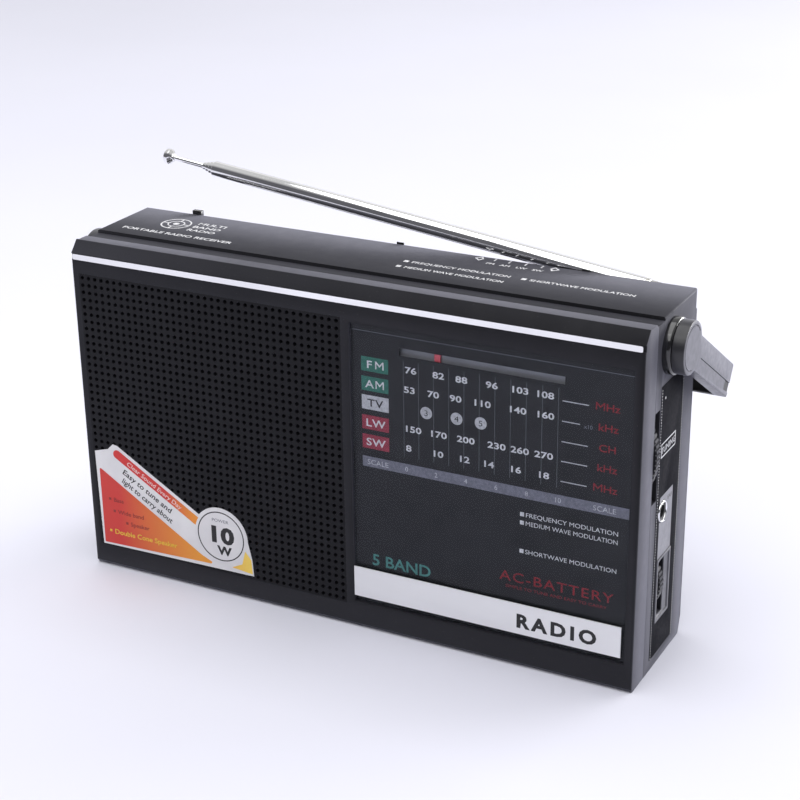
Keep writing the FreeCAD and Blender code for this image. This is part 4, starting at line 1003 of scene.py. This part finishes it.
def handle():
    for side, sign in (("right", 1), ("left", -1)):
        handle_arm(side, sign)
    low, high = box("handle_bosses")
    bosses = handle_boss(RIGHT, high.x)
    mesh = bpy.data.meshes.new("boss")
    other = handle_boss(LEFT, low.x)
    other.to_mesh(mesh)
    other.free()
    bosses.from_mesh(mesh)
    bpy.data.meshes.remove(mesh)
    piece(bosses, "pivot_bosses", "case", look["gloss"], ["handle_bosses"])

    def lengthwise(edge):
        return abs(edge.verts[0].co.x - edge.verts[1].co.x) > 50

    dressed("handle_grip", "grip_bar", "handle", "grip", 1.1, lengthwise, segments=4)


handle()


# ---- telescopic aerial ----

def aerial():
    pivot = Vector(JOINTS["aerial_tilt"]["pos_m"]) / MM
    along = Vector(JOINTS["aerial_slide_2"]["axis"]).normalized()
    place = plane(pivot, Y, along.cross(Y))
    start, end, collar, step, wall = 5.0, 181.0, 1.6, 0.5, 0.44
    for i in range(4):
        outer = 3.0 - i * step
        inner = outer - wall
        near = start if i == 0 else start + 4.4 + (i + 1) * 1.4
        far = end + i * collar
        profile = [
            (near, inner), (near, outer), (far - 0.42, outer), (far - 0.3, outer - 0.03),
            (far - 0.12, outer - 0.11), (far, outer - 0.26), (far, inner),
        ]
        bm = bmesh.new()
        turned(bm, profile, place, 64)
        name = f"aerial_section_{i + 1}"
        piece(bm, name, f"aerial_{i + 1}", look["chrome"], [f"aerial_tube_{i + 1}"])
    tip = end + 3 * collar + 13.2
    profile = [(start + 25, 0), (start + 25, 1.0), (tip, 1.0), (tip + 0.15, 1.6), (tip + 0.6, 1.7)]
    for degrees in (30, 60, 120, 180):
        turn = math.radians(degrees)
        profile.append((tip + 0.9 + 1.0 * (1 - math.cos(turn)) / 2, 1.7 + 1.25 * math.sin(turn / 2)))
    profile += [(tip + 3.2, 2.95), (tip + 3.5, 2.85), (tip + 3.8, 2.5), (tip + 3.95, 2.0), (tip + 4.0, 0)]
    bm = bmesh.new()
    turned(bm, profile, place, 56, closed=False)
    piece(bm, "aerial_rod_and_tip", "aerial_5", look["chrome"], ["aerial_rod"])
    for node, body, name, material, width in (
        ("aerial_knuckle", "aerial_1", "aerial_hinge", "nickel", 0.15),
        ("aerial_swivel", "aerial_base", "aerial_post", "nickel", 0.12),
        ("aerial_bracket", "case", "aerial_mount", "case", 0.5),
        ("aerial_clip", "case", "aerial_rests", "gloss", 0.15),
    ):
        dressed(node, name, body, material, width)


aerial()


# ---- sticker ----

def sticker():
    front = plane((0, box("sticker")[0].y, 0), X, Z)

    def layer(number):
        return front @ Matrix.Translation((0, 0, number * 1.5 * PRINT_DEPTH))

    def print_one(name, ink_name, draw):
        bm = bmesh.new()
        draw(bm)
        piece(bm, name, "case", look[ink_name])

    slope = -30.8
    turn = math.radians(slope)
    along = Vector((math.cos(turn), math.sin(turn)))
    across = Vector((-along.y, along.x))
    middle = Vector((-81.1, 39.1))
    half = 22.0

    def beside(shift, drop):
        return tuple(middle + along * shift - across * drop)

    def band(bm):
        corners = [middle + along * a + across * b for a, b in rectangle(-half, -1.8, half, 1.8)]
        patch(bm, rounded([tuple(c) for c in corners], 1.75), layer(1))

    def field(bm):
        patch(bm, rounded([(-107.3, 42.5), (-107.3, 10.4), (-55.8, 11.9), (-62.0, 14.6)], 0.5), layer(1))

    def wedge(bm):
        patch(bm, [(-42.4, 20.4), (-44.0, 14.6), (-48.6, 12.4), (-39.5, 11.4), (-39.9, 17.2)], layer(1))

    def slogan(bm):
        at = beside(-1.2, 0)
        lettering(bm, "Clear Sound Every Day", 1.9, layer(2), at, stretch=1.12, turn=slope, weight=0.02)

    def words(bm):
        for text, at, span in (
            ("Easy to tune and", beside(-2.5, 4.4), 24.5), ("light to carry about", beside(-0.7, 8.0), 25.5),
        ):
            lettering(bm, text, 2.35, layer(1), at, turn=slope, weight=0.04, span=span)

    def bullets(bm):
        for x, z, text in ((-102.3, 29.8, "Bass"), (-100.6, 24.8, "Wide band"), (-95.0, 20.6, "Speaker")):
            patch(bm, rectangle(x - 1.6, z - 0.5, x - 0.6, z + 0.5), layer(2))
            lettering(bm, text, 1.8, layer(2), (x + 0.5, z), align="LEFT", stretch=1.1, weight=0.02)

    def base_line(bm):
        patch(bm, rectangle(-104.6, 15.5, -103.6, 16.5), layer(2))
        at = (-102.4, 16.0)
        lettering(bm, "Double Cone Speaker", 2.1, layer(2), at, align="LEFT", stretch=1.12, weight=0.04)

    badge = (-53.0, 24.4)

    def plate(bm):
        patch(bm, disc(11.4, badge, 64), layer(2))

    def rim(bm):
        ring(bm, badge, 10.3, 9.85, layer(3), 56)

    def figures(bm):
        x, z = badge
        lettering(bm, "10", 6.6, layer(3), (x, z + 0.8), stretch=1.25, weight=0.42, spacing=1.05)
        lettering(bm, "W", 3.6, layer(3), (x + 1.4, z - 5.7), stretch=1.15, weight=0.2)

    def small(bm):
        lettering(bm, "POWER", 1.3, layer(3), (badge[0], badge[1] + 6.6), stretch=1.2)

    dressed("sticker", "paper_label", "case", "paper")
    print_one("label_band", "band_red", band)
    print_one("label_field", "field_red", field)
    print_one("label_wedge", "wedge_yellow", wedge)
    print_one("label_slogan", "ink_pink", slogan)
    print_one("label_words", "ink_black", words)
    print_one("label_bullets", "ink_maroon", bullets)
    print_one("label_base_line", "ink_yellow", base_line)
    print_one("label_badge", "paper", plate)
    print_one("badge_ring", "ink_black", rim)
    print_one("badge_figures", "ink_black", figures)
    print_one("badge_small_words", "ink_grey", small)


sticker()


# ---- print on the top ----

def top_print():
    top = plane((0, 0, TOP), X, Y)
    bm = bmesh.new()
    emblem = (-89.5, 10.8)
    for outer, inner in ((6.0, 5.4), (3.4, 2.9)):
        ring(bm, emblem, outer, inner, top, 36)
    patch(bm, disc(1.3, emblem, 20), top)
    for angle in (0, 90, 180, 270):
        local = top @ Matrix.Translation((*emblem, 0)) @ Matrix.Rotation(math.radians(angle), 4, "Z")
        patch(bm, rectangle(3.4, -0.3, 5.4, 0.3), local)
    for i, word in enumerate(("MULTI", "BAND", "RADIO")):
        lettering(bm, word, 2.4, top, (-81.8, 14.6 - 4.0 * i), align="LEFT", span=12.0, weight=0.06)
    lettering(bm, "PORTABLE RADIO RECEIVER", 2.3, top, (-81.7, -0.7), span=48.0, weight=0.06)
    for x, y, words, span in (
        (10.0, 7.9, "FREQUENCY MODULATION", 38.0), (10.0, 1.9, "MEDIUM WAVE MODULATION", 38.0),
        (55.6, 7.6, "SHORTWAVE MODULATION", 38.5),
    ):
        patch(bm, rectangle(x - 0.9, y - 0.9, x + 0.9, y + 0.9), top)
        lettering(bm, words, 2.0, top, (x + 2.2, y), align="LEFT", span=span, weight=0.05)
    for x, point in ((32.7, -1), (60.6, 1)):
        outline = [(x, 24.0), (x + 2.4 * point, 21.8), (x, 19.6), (x - 1.2 * point, 21.8)]
        near = x + 0.2 * point
        inner = [(near, 23.0), (x + 1.6 * point, 21.8), (near, 20.6), (x - 0.4 * point, 21.8)]
        for a in range(4):
            b = (a + 1) % 4
            patch(bm, [outline[a], outline[b], inner[b], inner[a]], top)
    for x, word in zip((38.0, 43.7, 49.9, 56.1), ("FM", "AM", "LW", "SW")):
        patch(bm, rectangle(x - 0.25, 21.2, x + 0.25, 23.8), top)
        lettering(bm, word, 1.7, top, (x, 18.2), stretch=1.15, weight=0.05)
    piece(bm, "top_lettering", "case", look["ink_white"])


top_print()


# ---- back ----

BACKSIDE = plane((0, BACK, 0), -X, Z)


def battery_door():
    back = box("battery_cover")[1].y
    dressed("battery_cover", "door_skin", "battery_door", "case", 0.3)
    ribs = bmesh.new()
    place = plane((0, back - 0.7, 0), -X, Z)
    for i in range(5):
        z = 37.0 + 0.9 * i
        slab(ribs, rectangle(-25.0, z - 0.2, -13.0, z + 0.2), place, -0.2, 0.45)
    bevel(ribs, 0.08, segments=1)
    piece(ribs, "door_thumb_ribs", "battery_door", look["case"])
    arrow = bmesh.new()
    place = plane((0, back, 0), -X, Z)
    patch(arrow, [(-21.6, 33.6), (-16.4, 33.6), (-19.0, 30.2)], place)
    lettering(arrow, "OPEN", 2.2, place, (-19.0, 27.4), stretch=1.15)
    piece(arrow, "door_arrow", "battery_door", look["ink_grey"])


def back_details():
    dressed("mains_inlet", "inlet_shell", "case", "chip_resin", 0.25)
    dressed("case_screws", "case_screw_heads", "case", "zinc_steel", 0.2)
    dressed("band_switch_knob", "switch_cap", "band_selector", "gloss", 0.18)
    lines = bmesh.new()
    for i in range(14):
        z = 56.0 + 3.6 * i
        slab(lines, rectangle(-60.0, z, 60.0, z + 1.5), BACKSIDE, -0.3, 0.35)
    bevel(lines, 0.15, segments=1)
    piece(lines, "back_ribs", "case", look["case"])


battery_door()
back_details()


# ---- materials of the CAD pieces that stay ----

SLOT_LOOKS = {
    "case_plastic": "case", "gloss_black": "gloss", "bright_trim": "chrome", "dial_print": "dial",
    "silver_foil": "foil", "rail_grey": "rail", "pointer_red": "pointer", "label_film": "film",
    "label_paper": "paper", "smoked_window": "window",
}
WHEELS = ("tuning_wheel", "volume_wheel")


def dress_nodes():
    for part in frame["record"]["subparts"]:
        node, slot = part["node"], part["material_slot"]
        name = "wheel" if node in WHEELS else SLOT_LOOKS.get(slot, slot)
        thing = frame["nodes"][node]
        thing.data.materials.clear()
        thing.data.materials.append(look[name])


dress_nodes()
